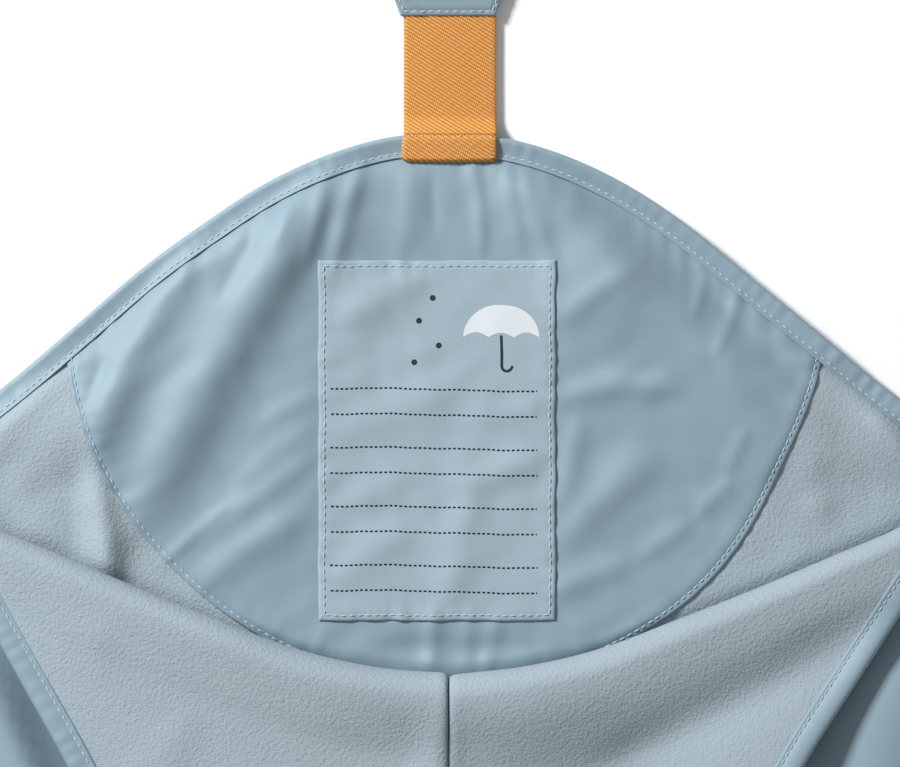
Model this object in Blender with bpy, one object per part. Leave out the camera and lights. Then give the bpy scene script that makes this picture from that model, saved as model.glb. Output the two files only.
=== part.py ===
"""Child's lined rain trousers with bib and braces, laid flat, front up, with the bib folded down.

Every piece is drawn flat, as a maker cuts it, triangulated, given its thickness and laid in place.
Sizes are in millimetres, and MM turns them into metres where a mesh is made. In the drawings X is
the picture's right, Y runs towards the braces, and (0, 0) is the middle of the back's top edge.
"""
import math

import bmesh
import bpy
from mathutils import Vector
from mathutils.geometry import delaunay_2d_cdt

MM = 0.001

# Cloth thicknesses, and the gap between pieces
SHELL = 1.2
FLEECE = 2.2
FACING = 1.0
GAP = 0.3

# Heights in the back, above the floor
BACK_SHELL = (0.0, SHELL)
BACK_LINING = (BACK_SHELL[1] + GAP, BACK_SHELL[1] + GAP + FLEECE)
YOKE_LAYER = (BACK_LINING[1] + GAP, BACK_LINING[1] + GAP + FACING)
PATCH_LAYER = (YOKE_LAYER[1] + GAP, YOKE_LAYER[1] + GAP + FACING)

# Heights in the front, from the fleece's face towards the shell
FRONT_LINING = (0.0, FLEECE)
FRONT_SHELL = (FLEECE + GAP, FLEECE + GAP + SHELL)
BIB_TAPE = (-GAP - FACING, -GAP)

# Main lines of the trousers
SIDE_X = 177.0
UNDERARM_Y = -108.6
CROTCH_Y = -372.0
HEM_Y = -790.0
LINING_END_Y = -345.0
LINING_SWEEP = 12.0
LINING_WIDE_Y = -150.0
BIB_TOP_Y = -328.0
TAPE_WIDTH = 7.0
TAPE_END_X = 170.0
BIB_TAPE_WIDTH = 8.0

# Beyond this distance from the middle the back's tape comes down from the yoke's height
TAPE_STEP_X = 125.0
TAPE_STEP_LENGTH = 15.0

# Top edge of the back: distance from the middle, y on the left, y on the right
TOP_EDGE = (
    (0.0, 0.8, 0.8),
    (20.0, -0.9, -1.3),
    (40.0, -6.7, -7.4),
    (60.0, -16.0, -17.2),
    (80.0, -29.0, -30.8),
    (100.0, -43.6, -47.2),
    (120.0, -60.8, -63.6),
    (140.0, -78.0, -80.2),
    (160.0, -94.0, -95.5),
    (SIDE_X, UNDERARM_Y, UNDERARM_Y),
)

# Side seam and inner leg seam: y, distance from the middle
SIDE_SEAM = (
    (HEM_Y, 172.0),
    (-650.0, 174.5),
    (-500.0, 178.0),
    (CROTCH_Y, 180.0),
    (-230.0, 180.0),
    (-160.0, 178.5),
    (UNDERARM_Y, SIDE_X),
)
INNER_SEAM = (
    (HEM_Y, 20.0),
    (-600.0, 15.5),
    (-450.0, 12.0),
    (-400.0, 8.5),
    (-380.0, 4.0),
    (CROTCH_Y, 0.0),
)

# Line where the bib folds over: distance from the middle, y
FOLD_LINE = (
    (0.0, -176.3),
    (25.0, -173.8),
    (50.0, -167.7),
    (75.0, -158.6),
    (100.0, -149.5),
    (125.0, -138.6),
    (150.0, -126.9),
    (SIDE_X, UNDERARM_Y),
)

# Sides of the folded bib, seen from above: y, x on the left, x on the right
BIB_SIDE = (
    (BIB_TOP_Y, -87.0, 78.0),
    (-280.0, -94.0, 85.5),
    (-240.0, -107.0, 98.0),
    (-206.0, -123.4, 115.1),
    (-180.0, -137.8, 131.6),
    (-155.0, -151.6, 147.7),
    (-130.0, -165.4, 163.6),
    (UNDERARM_Y, -SIDE_X, SIDE_X),
)

# The roll where the bib turns over, and the height of the bib lying on the front
ROLL_RADIUS_MIDDLE = 10.0
ROLL_RADIUS_SIDE = 6.0
ROLL_STEPS = 8
COLUMNS = 26
FLAP_DIP_MIDDLE = 4.5
FLAP_DIP_SIDE = 1.5
FLAP_DIP_LENGTH = 22.0
FLAP_FALL = 3.5
FLAP_LENGTH = 142.0

# Height of the fleece's face in the front: on the back's lining, and where the shells meet
FRONT_ON_LINING = BACK_LINING[1] + GAP
FRONT_ON_SHELL = BACK_SHELL[1] + GAP - FRONT_SHELL[0]
STEP_LENGTH = 50.0
RISE_START_Y = LINING_WIDE_Y - 18.0
RISE_LENGTH = 17.0
SEAM_ALLOWANCE = 11.0
LEG_PUFF = 2.2
PUFF_EDGE = 45.0

# Yoke facing, a disc cut off by the top edge
YOKE_CENTRE = (0.0, -62.0)
YOKE_RADIUS = 121.0
YOKE_DEPTH = 118.0
YOKE_CORNER_ANGLE = math.radians(3.0)
YOKE_PAST_EDGE_Y = 5.0

# Name patch
PATCH_LEFT = -42.4
PATCH_RIGHT = 35.2
PATCH_TOP = -40.8
PATCH_BOTTOM = -158.5

# Soft folds: start x, start y, end x, end y, half width, height
BACK_FOLDS = (
    (-112.0, -96.0, -66.0, -34.0, 24.0, 3.4),
    (-54.0, -128.0, -36.0, -36.0, 26.0, 2.4),
    (30.0, -24.0, 52.0, -50.0, 24.0, 2.2),
    (52.0, -50.0, 106.0, -94.0, 26.0, 3.0),
    (-150.0, -108.0, -122.0, -116.0, 26.0, 5.0),
    (146.0, -104.0, 124.0, -118.0, 26.0, 4.5),
)
FLAP_FOLDS = (
    (8.0, -198.0, 95.0, -166.0, 17.0, -1.8),
    (95.0, -166.0, 130.0, -149.0, 14.0, -1.2),
    (-12.0, -197.0, -100.0, -168.0, 17.0, -1.2),
    (-26.0, -300.0, -12.0, -225.0, 22.0, 1.6),
    (30.0, -290.0, 20.0, -236.0, 22.0, 1.4),
)
LEG_FOLDS = (
    (14.0, -392.0, 120.0, -352.0, 20.0, 2.6),
    (-14.0, -392.0, -112.0, -346.0, 20.0, 2.4),
    (26.0, -420.0, 92.0, -470.0, 20.0, 2.2),
    (-26.0, -424.0, -98.0, -462.0, 20.0, 2.4),
    (150.0, -560.0, 58.0, -598.0, 22.0, 2.4),
    (-60.0, -566.0, -150.0, -604.0, 22.0, 2.2),
    (44.0, -640.0, 132.0, -664.0, 20.0, 1.8),
    (-140.0, -690.0, -50.0, -704.0, 20.0, 2.0),
)
FOLD_FADE = 16.0
FADE_START = 6.0

# Elastic: its middle, width, ends, and its height along its length (y, height)
ELASTIC_X = 0.6
ELASTIC_WIDTH = 30.2
ELASTIC_THICKNESS = 1.6
ELASTIC_HEIGHTS = (
    (-8.8, 6.6),
    (1.5, 6.6),
    (14.0, 2.4),
    (26.0, 1.5),
    (51.0, 1.5),
)

# Brace junction: two layers joined by a web, wider towards the braces
JUNCTION_Y = 39.1
JUNCTION_LENGTH = 32.0
JUNCTION_WIDTH = 31.0
JUNCTION_FLARE = 0.37
JUNCTION_SLOT = 2.2
POCKET_DEPTH = 12.5

# Braces
STRAP_WIDTH = 25.0
STRAP_LENGTH = 350.0
STRAP_THICKNESS = 1.6
STRAP_EDGE = 0.6
STRAP_TUCK = 16.4
STRAP_DROP = 14.0
STRAP_STEPS = 10
STRAP_END_MARGIN = 20.0
STRAP_START_Y = JUNCTION_Y + JUNCTION_LENGTH - STRAP_TUCK + GAP

# Buttons under the folded bib
BUTTON_X = 58.0
BUTTON_Y = -306.0
BUTTON_RADIUS = 10.0
BUTTON_THICKNESS = 2.4
BUTTON_SHANK = 0.9

# Half of a button's section: share of its radius, share of its thickness
BUTTON_PROFILE = (
    (0.0, 0.7),
    (0.62, 0.7),
    (0.8, 1.0),
    (1.0, 0.75),
    (1.0, 0.2),
    (0.9, 0.0),
    (0.0, 0.0),
)

# Distances between the drawings' inner points: below this y, distance
BACK_SPACING = ((-400.0, 46.0), (-195.0, 32.0), (10.0, 15.5))
FRONT_SPACING = ((-345.0, 40.0), (-100.0, 32.0))
FLAP_SPACING = ((0.0, 21.0),)
HEM_MARGIN = 20.0
BIB_TOP_MARGIN = 12.0
BACK_TOP_MARGIN = 0.0
ROLL_MARGIN = 8.0

# Points closer than SNAP are one; the others keep a distance from lines and tapes
SNAP = 1.0
LINE_CLEARANCE = 6.0
TAPE_CLEARANCE = 3.0
TAPE_END_CLEARANCE = 4.0
TOLERANCE = 1e-3

# Where outlines turn, and the number of steps along them
INNER_SEAM_TURN = (CROTCH_Y, -380.0, -400.0)
INNER_SEAM_STRAIGHT_Y = -450.0
SIDE_SEAM_STOP_Y = UNDERARM_Y - 60.0
BACK_TURN_Y = -135.0
BIB_TURN = (UNDERARM_Y, -113.0, -118.0, -124.0)
BIB_STRAIGHT_Y = -132.0
INNER_SEAM_STEPS = 6
HEM_STEPS = 4
SIDE_SEAM_STEPS = 12
TOP_EDGE_STEPS = 17
BIB_SIDE_STEPS = 13
BIB_TOP_STEPS = 6
YOKE_STEPS = 26
PATCH_STEPS_ACROSS = 5
PATCH_STEPS_DOWN = 8
LINING_STEPS = 12
LINING_SIDE_STEPS = 5
ELASTIC_STEPS = 16
BUTTON_STEPS = 20

# Part's colours and roughness
FINISHES = {
    "shell": ((0.27, 0.37, 0.43), 0.45),
    "fleece": ((0.36, 0.45, 0.51), 0.95),
    "patch": ((0.40, 0.48, 0.54), 0.7),
    "tape": ((0.31, 0.41, 0.47), 0.5),
    "elastic": ((0.72, 0.35, 0.10), 0.8),
    "button": ((0.30, 0.40, 0.46), 0.35),
}


# Curves and surfaces

def smooth(value):
    """Ease from 0 to 1."""
    value = min(1.0, max(0.0, value))
    return value * value * (3.0 - 2.0 * value)


def follow(table, value, column=1):
    """Read a column of a table at a value of its first column, with rounded corners."""
    rows = sorted(table)
    value = min(rows[-1][0], max(rows[0][0], value))
    index = 0
    while index < len(rows) - 2 and value > rows[index + 1][0]:
        index += 1
    before = rows[max(index - 1, 0)]
    start = rows[index]
    end = rows[index + 1]
    after = rows[min(index + 2, len(rows) - 1)]
    span = end[0] - start[0]
    slope_in = (end[column] - before[column]) / (end[0] - before[0]) * span
    slope_out = (after[column] - start[column]) / (after[0] - start[0]) * span
    part = (value - start[0]) / span
    square = part * part
    cube = square * part
    return (
        (2.0 * cube - 3.0 * square + 1.0) * start[column]
        + (cube - 2.0 * square + part) * slope_in
        + (3.0 * square - 2.0 * cube) * end[column]
        + (cube - square) * slope_out
    )


def top_edge_y(x):
    """Top edge of the back."""
    return follow(TOP_EDGE, abs(x), 1 if x < 0.0 else 2)


def fold_y(x):
    """Line where the bib folds over."""
    return follow(FOLD_LINE, abs(x))


def roll_radius(x):
    """Radius of the fleece's face round the roll."""
    share = min(1.0, abs(x) / SIDE_X) ** 4
    return ROLL_RADIUS_MIDDLE + (ROLL_RADIUS_SIDE - ROLL_RADIUS_MIDDLE) * share


def roll_start(x):
    """Y where the front leaves the back to turn over."""
    return fold_y(x) - roll_radius(x)


def relief(folds, x, y):
    """Height of the soft folds at a point."""
    height = 0.0
    point = Vector((x, y))
    for start_x, start_y, end_x, end_y, half_width, rise in folds:
        start = Vector((start_x, start_y))
        along = Vector((end_x, end_y)) - start
        part = min(1.0, max(0.0, (point - start).dot(along) / along.length_squared))
        share = (point - start - along * part).length / half_width
        if share < 1.0:
            height += rise * (1.0 - share * share) ** 2
    return height


def back_lift(x, y):
    """How far the back is off the floor: only in folds above the roll."""
    above_roll = smooth((y - fold_y(x) + FADE_START) / FOLD_FADE)
    below_edge = smooth((top_edge_y(x) - y) / FOLD_FADE)
    return relief(BACK_FOLDS, x, y) * above_roll * below_edge


def place_back(x, y, height):
    """Lay a point of the back's drawing in place."""
    return Vector((x, y, back_lift(x, y) + height))


def front_rest(x, y):
    """Height of the fleece's face where the front lies on the back."""
    lined = smooth((y - LINING_END_Y + STEP_LENGTH + GAP) / STEP_LENGTH)
    near_roll = smooth((y - RISE_START_Y) / RISE_LENGTH)
    from_side = (follow(SIDE_SEAM, y) - abs(x)) / SEAM_ALLOWANCE
    inside = max(smooth(from_side), near_roll)
    height = FRONT_ON_SHELL + (FRONT_ON_LINING - FRONT_ON_SHELL) * lined * inside
    below = smooth((LINING_END_Y - y) / STEP_LENGTH)
    from_edges = min(follow(SIDE_SEAM, y) - abs(x), abs(x) - follow(INNER_SEAM, y))
    if y > CROTCH_Y:
        from_edges = follow(SIDE_SEAM, y) - abs(x)
    soft = smooth(from_edges / PUFF_EDGE)
    return height + below * soft * (LEG_PUFF + relief(LEG_FOLDS, x, y))


def flap_height(x, back):
    """Height of the folded bib's fleece face, by the distance behind the roll's crest."""
    middle = 1.0 - (x / SIDE_X) ** 2
    dip = FLAP_DIP_SIDE + (FLAP_DIP_MIDDLE - FLAP_DIP_SIDE) * middle
    dip *= smooth(back / FLAP_DIP_LENGTH)
    fall = FLAP_FALL * middle * back / FLAP_LENGTH
    plan_y = roll_start(x) - back
    folds = relief(FLAP_FOLDS, x, plan_y) * smooth(back / FOLD_FADE)
    return FRONT_ON_LINING + 2.0 * roll_radius(x) - dip - fall + folds


def front_face(x, run):
    """Point on the fleece's face of the front; run is the distance along the cloth."""
    radius = roll_radius(x)
    past = run - roll_start(x)
    if past <= 0.0:
        return Vector((x, run, front_rest(x, run)))
    angle = past / radius
    if angle < math.pi:
        y = roll_start(x) + radius * math.sin(angle)
        return Vector((x, y, FRONT_ON_LINING + radius * (1.0 - math.cos(angle))))
    back = past - math.pi * radius
    return Vector((x, roll_start(x) - back, flap_height(x, back)))


def place_front(x, run, height):
    """Lay a point of the front's drawing in place, offset from the fleece's face."""
    step = 0.5
    across = front_face(x + step, run) - front_face(x - step, run)
    along = front_face(x, run + step) - front_face(x, run - step)
    return front_face(x, run) + across.cross(along).normalized() * height


def over_roll(x, y):
    """Distance along the cloth of a point of the folded bib seen from above."""
    radius = roll_radius(x)
    past = y - roll_start(x)
    if past <= 0.0:
        return roll_start(x) + math.pi * radius - past
    angle = math.pi - math.asin(min(1.0, past / radius))
    return roll_start(x) + angle * radius


# Flat drawings

def span(start, end, count):
    """Evenly spaced values from start to end."""
    return [start + (end - start) * index / count for index in range(count + 1)]


def trouser_seams(side):
    """Crotch, inner leg, hem and side seam of one leg, as far as the underarm."""
    inner = list(INNER_SEAM_TURN) + span(INNER_SEAM_STRAIGHT_Y, HEM_Y, INNER_SEAM_STEPS)
    hem_start = follow(INNER_SEAM, HEM_Y)
    hem_end = follow(SIDE_SEAM, HEM_Y)
    outer = span(HEM_Y, SIDE_SEAM_STOP_Y, SIDE_SEAM_STEPS)[1:]
    points = [(side * follow(INNER_SEAM, y), y) for y in inner]
    points += [(side * x, HEM_Y) for x in span(hem_start, hem_end, HEM_STEPS)[1:]]
    points += [(side * follow(SIDE_SEAM, y), y) for y in outer]
    return points


def trim(points, distance):
    """Move an open line sideways, to the left of its direction."""
    moved = []
    for index, point in enumerate(points):
        before = Vector(points[max(index - 1, 0)])
        after = Vector(points[min(index + 1, len(points) - 1)])
        along = (after - before).normalized()
        moved.append((point[0] - along.y * distance, point[1] + along.x * distance))
    return moved


def back_outline(side):
    """One half of the back, from the crotch round to the middle of its top edge."""
    points = trouser_seams(side)
    points.append((side * follow(SIDE_SEAM, BACK_TURN_Y), BACK_TURN_Y))
    points += [(side * x, top_edge_y(side * x)) for x in span(SIDE_X, 0.0, TOP_EDGE_STEPS)]
    return points


def bib_side_x(side, y):
    """Side of the folded bib seen from above."""
    return follow(BIB_SIDE, y, 1 if side < 0.0 else 2)


def bib_side_line(side):
    """Side of the folded bib, from the underarm to the inner edge of the bib's top tape."""
    straight = span(BIB_STRAIGHT_Y, BIB_TOP_Y + BIB_TAPE_WIDTH, BIB_SIDE_STEPS)
    return [(bib_side_x(side, y), y) for y in list(BIB_TURN) + straight]


def bib_top_line(y, inset):
    """Line across the bib near its top, left to right, with points at the side tapes."""
    left = bib_side_x(-1.0, y) + inset
    right = bib_side_x(1.0, y) - inset
    line = span(left, 0.0, BIB_TOP_STEPS) + span(0.0, right, BIB_TOP_STEPS)[1:]
    if inset:
        line = [left - inset] + line + [right + inset]
    return [(x, over_roll(x, y)) for x in line]


def front_outline(side):
    """One half of the front, from the crotch round the bib to the middle of the bib's top."""
    points = trouser_seams(side)
    points.append((side * SIDE_X, roll_start(SIDE_X)))
    points.append((side * SIDE_X, over_roll(SIDE_X, UNDERARM_Y)))
    points += [(x, over_roll(x, y)) for x, y in bib_side_line(side)[1:]]
    top = bib_top_line(BIB_TOP_Y, 0.0)
    middle = len(top) // 2
    return points + (top[: middle + 1] if side < 0.0 else top[:middle - 1:-1])


def back_tape_outline(side):
    """Edge tape along one half of the back's top edge."""
    outer = [(side * x, top_edge_y(side * x)) for x in span(TAPE_END_X, 0.0, TOP_EDGE_STEPS)]
    inner = trim(outer, side * TAPE_WIDTH)
    inner[-1] = (0.0, inner[-1][1])
    return outer + inner[::-1]


def bib_tape_outline(side):
    """Edge tape along one side of the bib, from the roll's foremost line to the bib's top tape."""
    line = bib_side_line(side)
    stop = line[-1][1]
    start_x = side * SIDE_X * (1.0 - 2.0 / COLUMNS)
    inner = [(start_x, fold_y(start_x))]
    for x, y in trim(line, -side * BIB_TAPE_WIDTH):
        if stop + TAPE_END_CLEARANCE < y < fold_y(x) - TAPE_END_CLEARANCE:
            inner.append((x, y))
    inner.append((line[-1][0] - side * BIB_TAPE_WIDTH, stop))
    return [(x, over_roll(x, y)) for x, y in line + inner[::-1]]


def bib_top_outline():
    """Edge tape across the bib's top."""
    low = bib_top_line(BIB_TOP_Y, 0.0)
    return low + bib_top_line(BIB_TOP_Y + BIB_TAPE_WIDTH, BIB_TAPE_WIDTH)[::-1]


def yoke_outline():
    """The yoke facing's arc, run on past the top edge, which cuts it off."""
    points = []
    for angle in span(-YOKE_CORNER_ANGLE, YOKE_CORNER_ANGLE - math.pi, YOKE_STEPS):
        x = YOKE_CENTRE[0] + YOKE_RADIUS * math.cos(angle)
        points.append((x, YOKE_CENTRE[1] + YOKE_DEPTH * math.sin(angle)))
    return [(points[0][0], YOKE_PAST_EDGE_Y)] + points + [(points[-1][0], YOKE_PAST_EDGE_Y)]


def patch_outline():
    """The name patch."""
    across = span(PATCH_LEFT, PATCH_RIGHT, PATCH_STEPS_ACROSS)
    down = span(PATCH_TOP, PATCH_BOTTOM, PATCH_STEPS_DOWN)
    points = [(x, PATCH_TOP) for x in across]
    points += [(PATCH_RIGHT, y) for y in down[1:]]
    points += [(x, PATCH_BOTTOM) for x in across[::-1][1:]]
    points += [(PATCH_LEFT, y) for y in down[::-1][1:-1]]
    return points


def lining_end(x):
    """Lower edge of the linings, which sweeps up towards the sides."""
    return LINING_END_Y + LINING_SWEEP * (x / SIDE_X) ** 2


def lining_line():
    """Lower edge of the linings, as a line."""
    reach = follow(SIDE_SEAM, LINING_END_Y) - SEAM_ALLOWANCE
    return [(x, lining_end(x)) for x in span(-reach, reach, LINING_STEPS)]


def lining_side(side, top):
    """Outer edge of the linings beside a side seam, and out across the seam at its top."""
    levels = span(LINING_END_Y + LINING_SWEEP, top, LINING_SIDE_STEPS)
    points = [(side * (follow(SIDE_SEAM, y) - SEAM_ALLOWANCE), y) for y in levels]
    return points + [(side * (SIDE_X + SEAM_ALLOWANCE), top)]


def lined(x, y):
    """Whether a point of the back's or the front's drawing is covered by the lining."""
    if y < lining_end(x):
        return False
    return y > LINING_WIDE_Y or abs(x) < follow(SIDE_SEAM, y) - SEAM_ALLOWANCE


def inside(outline, x, y):
    """Whether a point lies within a closed outline."""
    result = False
    for index, (end_x, end_y) in enumerate(outline):
        start_x, start_y = outline[index - 1]
        if (start_y > y) != (end_y > y):
            if x < start_x + (y - start_y) * (end_x - start_x) / (end_y - start_y):
                result = not result
    return result


def staggered(low, high, bands):
    """Staggered inner points between two y values; bands give the distance between them."""
    points = []
    y = low
    row = 0
    while y < high:
        step = next(distance for limit, distance in bands if y < limit)
        count = int(2.0 * SIDE_X / step)
        for column in range(-count // 2, count // 2 + 2):
            points.append(((column + 0.5 * (row % 2)) * step, y))
        y += step * math.sqrt(0.75)
        row += 1
    return points


def distance_to(line, point):
    """Distance from a point to an open line."""
    best = math.inf
    point = Vector(point)
    for start, end in zip(line, line[1:]):
        start = Vector(start)
        along = Vector(end) - start
        part = min(1.0, max(0.0, (point - start).dot(along) / max(along.length_squared, 1e-9)))
        best = min(best, (point - start - along * part).length)
    return best


def draw(outlines, lines, points, clearance):
    """Triangulate a flat drawing from closed outlines, open lines and inner points."""
    vertices = []
    edges = []
    paths = [path + path[:1] for path in outlines] + lines
    for path in paths:
        indices = []
        for point in path:
            point = Vector(point)
            near = [index for index, other in enumerate(vertices) if (other - point).length < SNAP]
            if not near:
                near = [len(vertices)]
                vertices.append(point)
            indices.append(near[0])
        edges += [pair for pair in zip(indices, indices[1:]) if pair[0] != pair[1]]
    for point in points:
        if min(distance_to(path, point) for path in paths) > clearance:
            vertices.append(Vector(point))
    corners, _, faces, *_ = delaunay_2d_cdt(vertices, edges, [], 0, TOLERANCE, False)
    return corners, faces


def well_inside(point, outline, holes, clearance):
    """Whether a point lies within an outline and clear of some closed holes."""
    if not inside(outline, *point):
        return False
    return all(
        not inside(hole, *point) and distance_to(hole + hole[:1], point) > clearance
        for hole in holes
    )


def kept_faces(drawing, keep):
    """Faces of a drawing whose middle passes a test."""
    corners, faces = drawing
    chosen = []
    for face in faces:
        middle = sum((corners[index] for index in face), Vector((0.0, 0.0))) / len(face)
        if keep(middle.x, middle.y):
            chosen.append(face)
    return chosen


# Meshes

def finish_object(name, mesh, finish, collection, parent):
    """Make an object of a mesh, with its own material."""
    obj = bpy.data.objects.new(name, mesh)
    colour, roughness = FINISHES[finish]
    material = bpy.data.materials.new(name)
    material.use_nodes = True
    shader = material.node_tree.nodes["Principled BSDF"]
    shader.inputs["Base Color"].default_value = (*colour, 1.0)
    shader.inputs["Roughness"].default_value = roughness
    shader.inputs["Metallic"].default_value = 0.0
    mesh.materials.append(material)
    collection.objects.link(obj)
    obj.parent = parent
    return obj


def boundary_shift(vertex):
    """Direction in which a vertex at a piece's edge is trimmed back."""
    normals = []
    for edge in vertex.link_edges:
        if edge.is_boundary:
            along = (edge.verts[1].co - edge.verts[0].co).normalized()
            normal = Vector((-along.y, along.x, 0.0))
            middle = edge.link_faces[0].calc_center_median()
            if (middle - edge.verts[0].co).dot(normal) < 0.0:
                normal.negate()
            normals.append(normal)
    total = sum(normals, Vector())
    return total / (1.0 + normals[0].dot(normals[-1]))


def cut_piece(drawing, keep, low, high, place):
    """Cut a piece from a drawing, trim its edge, give it thickness and lay it in place."""
    corners, _ = drawing
    cloth = bmesh.new()
    used = {}
    for face in kept_faces(drawing, keep):
        for index in face:
            if index not in used:
                used[index] = cloth.verts.new((*corners[index], 0.0))
        cloth.faces.new([used[index] for index in face])
    edge_vertices = [vertex for vertex in cloth.verts if vertex.is_boundary]
    shifts = [boundary_shift(vertex) for vertex in edge_vertices]
    for vertex, shift in zip(edge_vertices, shifts):
        vertex.co += shift * (GAP / 2.0)
    lower = list(cloth.verts)
    result = bmesh.ops.extrude_face_region(cloth, geom=cloth.faces[:], use_keep_orig=True)
    upper = [item for item in result["geom"] if isinstance(item, bmesh.types.BMVert)]
    for vertices, level in ((lower, low), (upper, high)):
        for vertex in vertices:
            x, y = vertex.co.x, vertex.co.y
            height = level(x, y) if callable(level) else level
            vertex.co = place(x, y, height) * MM
    if cloth.calc_volume(signed=True) < 0.0:
        bmesh.ops.reverse_faces(cloth, faces=cloth.faces)
    mesh = bpy.data.meshes.new("cloth")
    cloth.to_mesh(mesh)
    cloth.free()
    return mesh


def strip_drawing(outline, rows):
    """Drawing of a narrow strip with lines across it, which run just past its sides."""
    left = min(x for x, _ in outline) - SNAP
    right = max(x for x, _ in outline) + SNAP
    lines = [[(left, y), (right, y)] for y in rows]
    return draw([outline], lines, [], 0.0)


# Pieces

def back_drawing():
    """The back and everything that lies on it, as one drawing."""
    right = back_outline(1.0)
    left = back_outline(-1.0)
    outline = left + right[::-1][1:-1]
    lines = [
        [(0.0, CROTCH_Y), (0.0, top_edge_y(0.0))],
        yoke_outline(),
        patch_outline() + patch_outline()[:1],
        lining_line(),
        lining_side(-1.0, LINING_WIDE_Y),
        lining_side(1.0, LINING_WIDE_Y),
        back_tape_outline(-1.0)[TOP_EDGE_STEPS:],
        back_tape_outline(1.0)[TOP_EDGE_STEPS:],
    ]
    for rise in (-FADE_START, FOLD_FADE / 2.0):
        lines.append([(x, fold_y(x) + rise) for x in span(-SIDE_X, SIDE_X, COLUMNS)])
    points = staggered(HEM_Y + HEM_MARGIN, BACK_TOP_MARGIN, BACK_SPACING)
    return draw([outline], lines, points, LINE_CLEARANCE)


def front_drawing():
    """The front with its bib, along the cloth, as one drawing."""
    right = front_outline(1.0)
    left = front_outline(-1.0)
    outline = left + right[::-1][1:-1]
    top_run = over_roll(0.0, BIB_TOP_Y)
    lines = [[(0.0, CROTCH_Y), (0.0, top_run)], lining_line()]
    lines += [lining_side(side, LINING_WIDE_Y) for side in (-1.0, 1.0)]
    tapes = [bib_tape_outline(side) for side in (-1.0, 1.0)]
    for step in range(ROLL_STEPS + 1):
        angle = math.pi * step / ROLL_STEPS
        row = [(x, roll_start(x) + angle * roll_radius(x)) for x in span(-SIDE_X, SIDE_X, COLUMNS)]
        if step > ROLL_STEPS // 2:
            row = [point for point in row if well_inside(point, outline, tapes, TAPE_CLEARANCE)]
        lines.append(row)
    lines += [tape + tape[:1] for tape in tapes]
    lines.append(bib_top_outline())
    front = staggered(HEM_Y + HEM_MARGIN, UNDERARM_Y, FRONT_SPACING)
    points = [(x, y) for x, y in front if y < roll_start(x) - ROLL_MARGIN]
    flap = staggered(BIB_TOP_Y + BIB_TOP_MARGIN, UNDERARM_Y, FLAP_SPACING)
    points += [(x, over_roll(x, y)) for x, y in flap if y < roll_start(x) - ROLL_MARGIN]
    return draw([outline], lines, points, LINE_CLEARANCE)


def make_back(collection, parent):
    """Back halves, their lining, the yoke facing, the name patch and the edge tape."""
    drawing = back_drawing()
    yoke = yoke_outline()
    patch = patch_outline()

    def tape_low(x, _):
        over_yoke = smooth((TAPE_STEP_X + TAPE_STEP_LENGTH - abs(x)) / TAPE_STEP_LENGTH)
        return BACK_LINING[1] + GAP + (FACING + GAP) * over_yoke

    def tape_high(x, y):
        return tape_low(x, y) + FACING

    for side, word in ((-1.0, "left"), (1.0, "right")):
        outline = back_outline(side)
        tape = back_tape_outline(side)
        pieces = (
            ("back_" + word, lambda x, y: inside(outline, x, y), BACK_SHELL, "shell"),
            (
                "back_lining_" + word,
                lambda x, y: inside(outline, x, y) and lined(x, y),
                BACK_LINING,
                "fleece",
            ),
            ("back_tape_" + word, lambda x, y: inside(tape, x, y), (tape_low, tape_high), "tape"),
        )
        for name, keep, (low, high), finish in pieces:
            mesh = cut_piece(drawing, keep, low, high, place_back)
            finish_object(name, mesh, finish, collection, parent)
    whole = back_outline(-1.0) + back_outline(1.0)[::-1]
    for name, shape, (low, high), finish in (
        ("yoke", yoke, YOKE_LAYER, "shell"),
        ("name_patch", patch, PATCH_LAYER, "patch"),
    ):
        mesh = cut_piece(
            drawing,
            lambda x, y: inside(shape, x, y) and inside(whole, x, y),
            low,
            high,
            place_back,
        )
        finish_object(name, mesh, finish, collection, parent)


def make_front(collection, parent):
    """Front halves with the bib, their lining and the bib's edge tape."""
    drawing = front_drawing()
    for side, word in ((-1.0, "left"), (1.0, "right")):
        outline = front_outline(side)
        tape = bib_tape_outline(side)
        pieces = (
            ("front_" + word, lambda x, run: inside(outline, x, run), FRONT_SHELL, "shell"),
            (
                "front_lining_" + word,
                lambda x, run: inside(outline, x, run) and lined(x, run),
                FRONT_LINING,
                "fleece",
            ),
            ("bib_tape_" + word, lambda x, run: inside(tape, x, run), BIB_TAPE, "tape"),
        )
        for name, keep, (low, high), finish in pieces:
            mesh = cut_piece(drawing, keep, low, high, place_front)
            finish_object(name, mesh, finish, collection, parent)
    top = bib_top_outline()
    mesh = cut_piece(drawing, lambda x, run: inside(top, x, run), *BIB_TAPE, place_front)
    finish_object("bib_tape_top", mesh, "tape", collection, parent)


def make_elastic(collection, parent):
    """Elastic from the yoke, over the top edge and into the junction."""
    left = ELASTIC_X - ELASTIC_WIDTH / 2.0
    right = ELASTIC_X + ELASTIC_WIDTH / 2.0
    bottom = ELASTIC_HEIGHTS[0][0]
    top = ELASTIC_HEIGHTS[-1][0]
    outline = [(left, bottom), (right, bottom), (right, top), (left, top)]
    drawing = strip_drawing(outline, span(bottom, top, ELASTIC_STEPS)[1:-1])

    def place(x, y, height):
        return Vector((x, y, follow(ELASTIC_HEIGHTS, y) + height))

    mesh = cut_piece(drawing, lambda x, y: inside(outline, x, y), 0.0, ELASTIC_THICKNESS, place)
    finish_object("elastic", mesh, "elastic", collection, parent)


def junction_half_width(y):
    """Half the junction's width."""
    return JUNCTION_WIDTH / 2.0 + JUNCTION_FLARE * (y - JUNCTION_Y)


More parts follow.
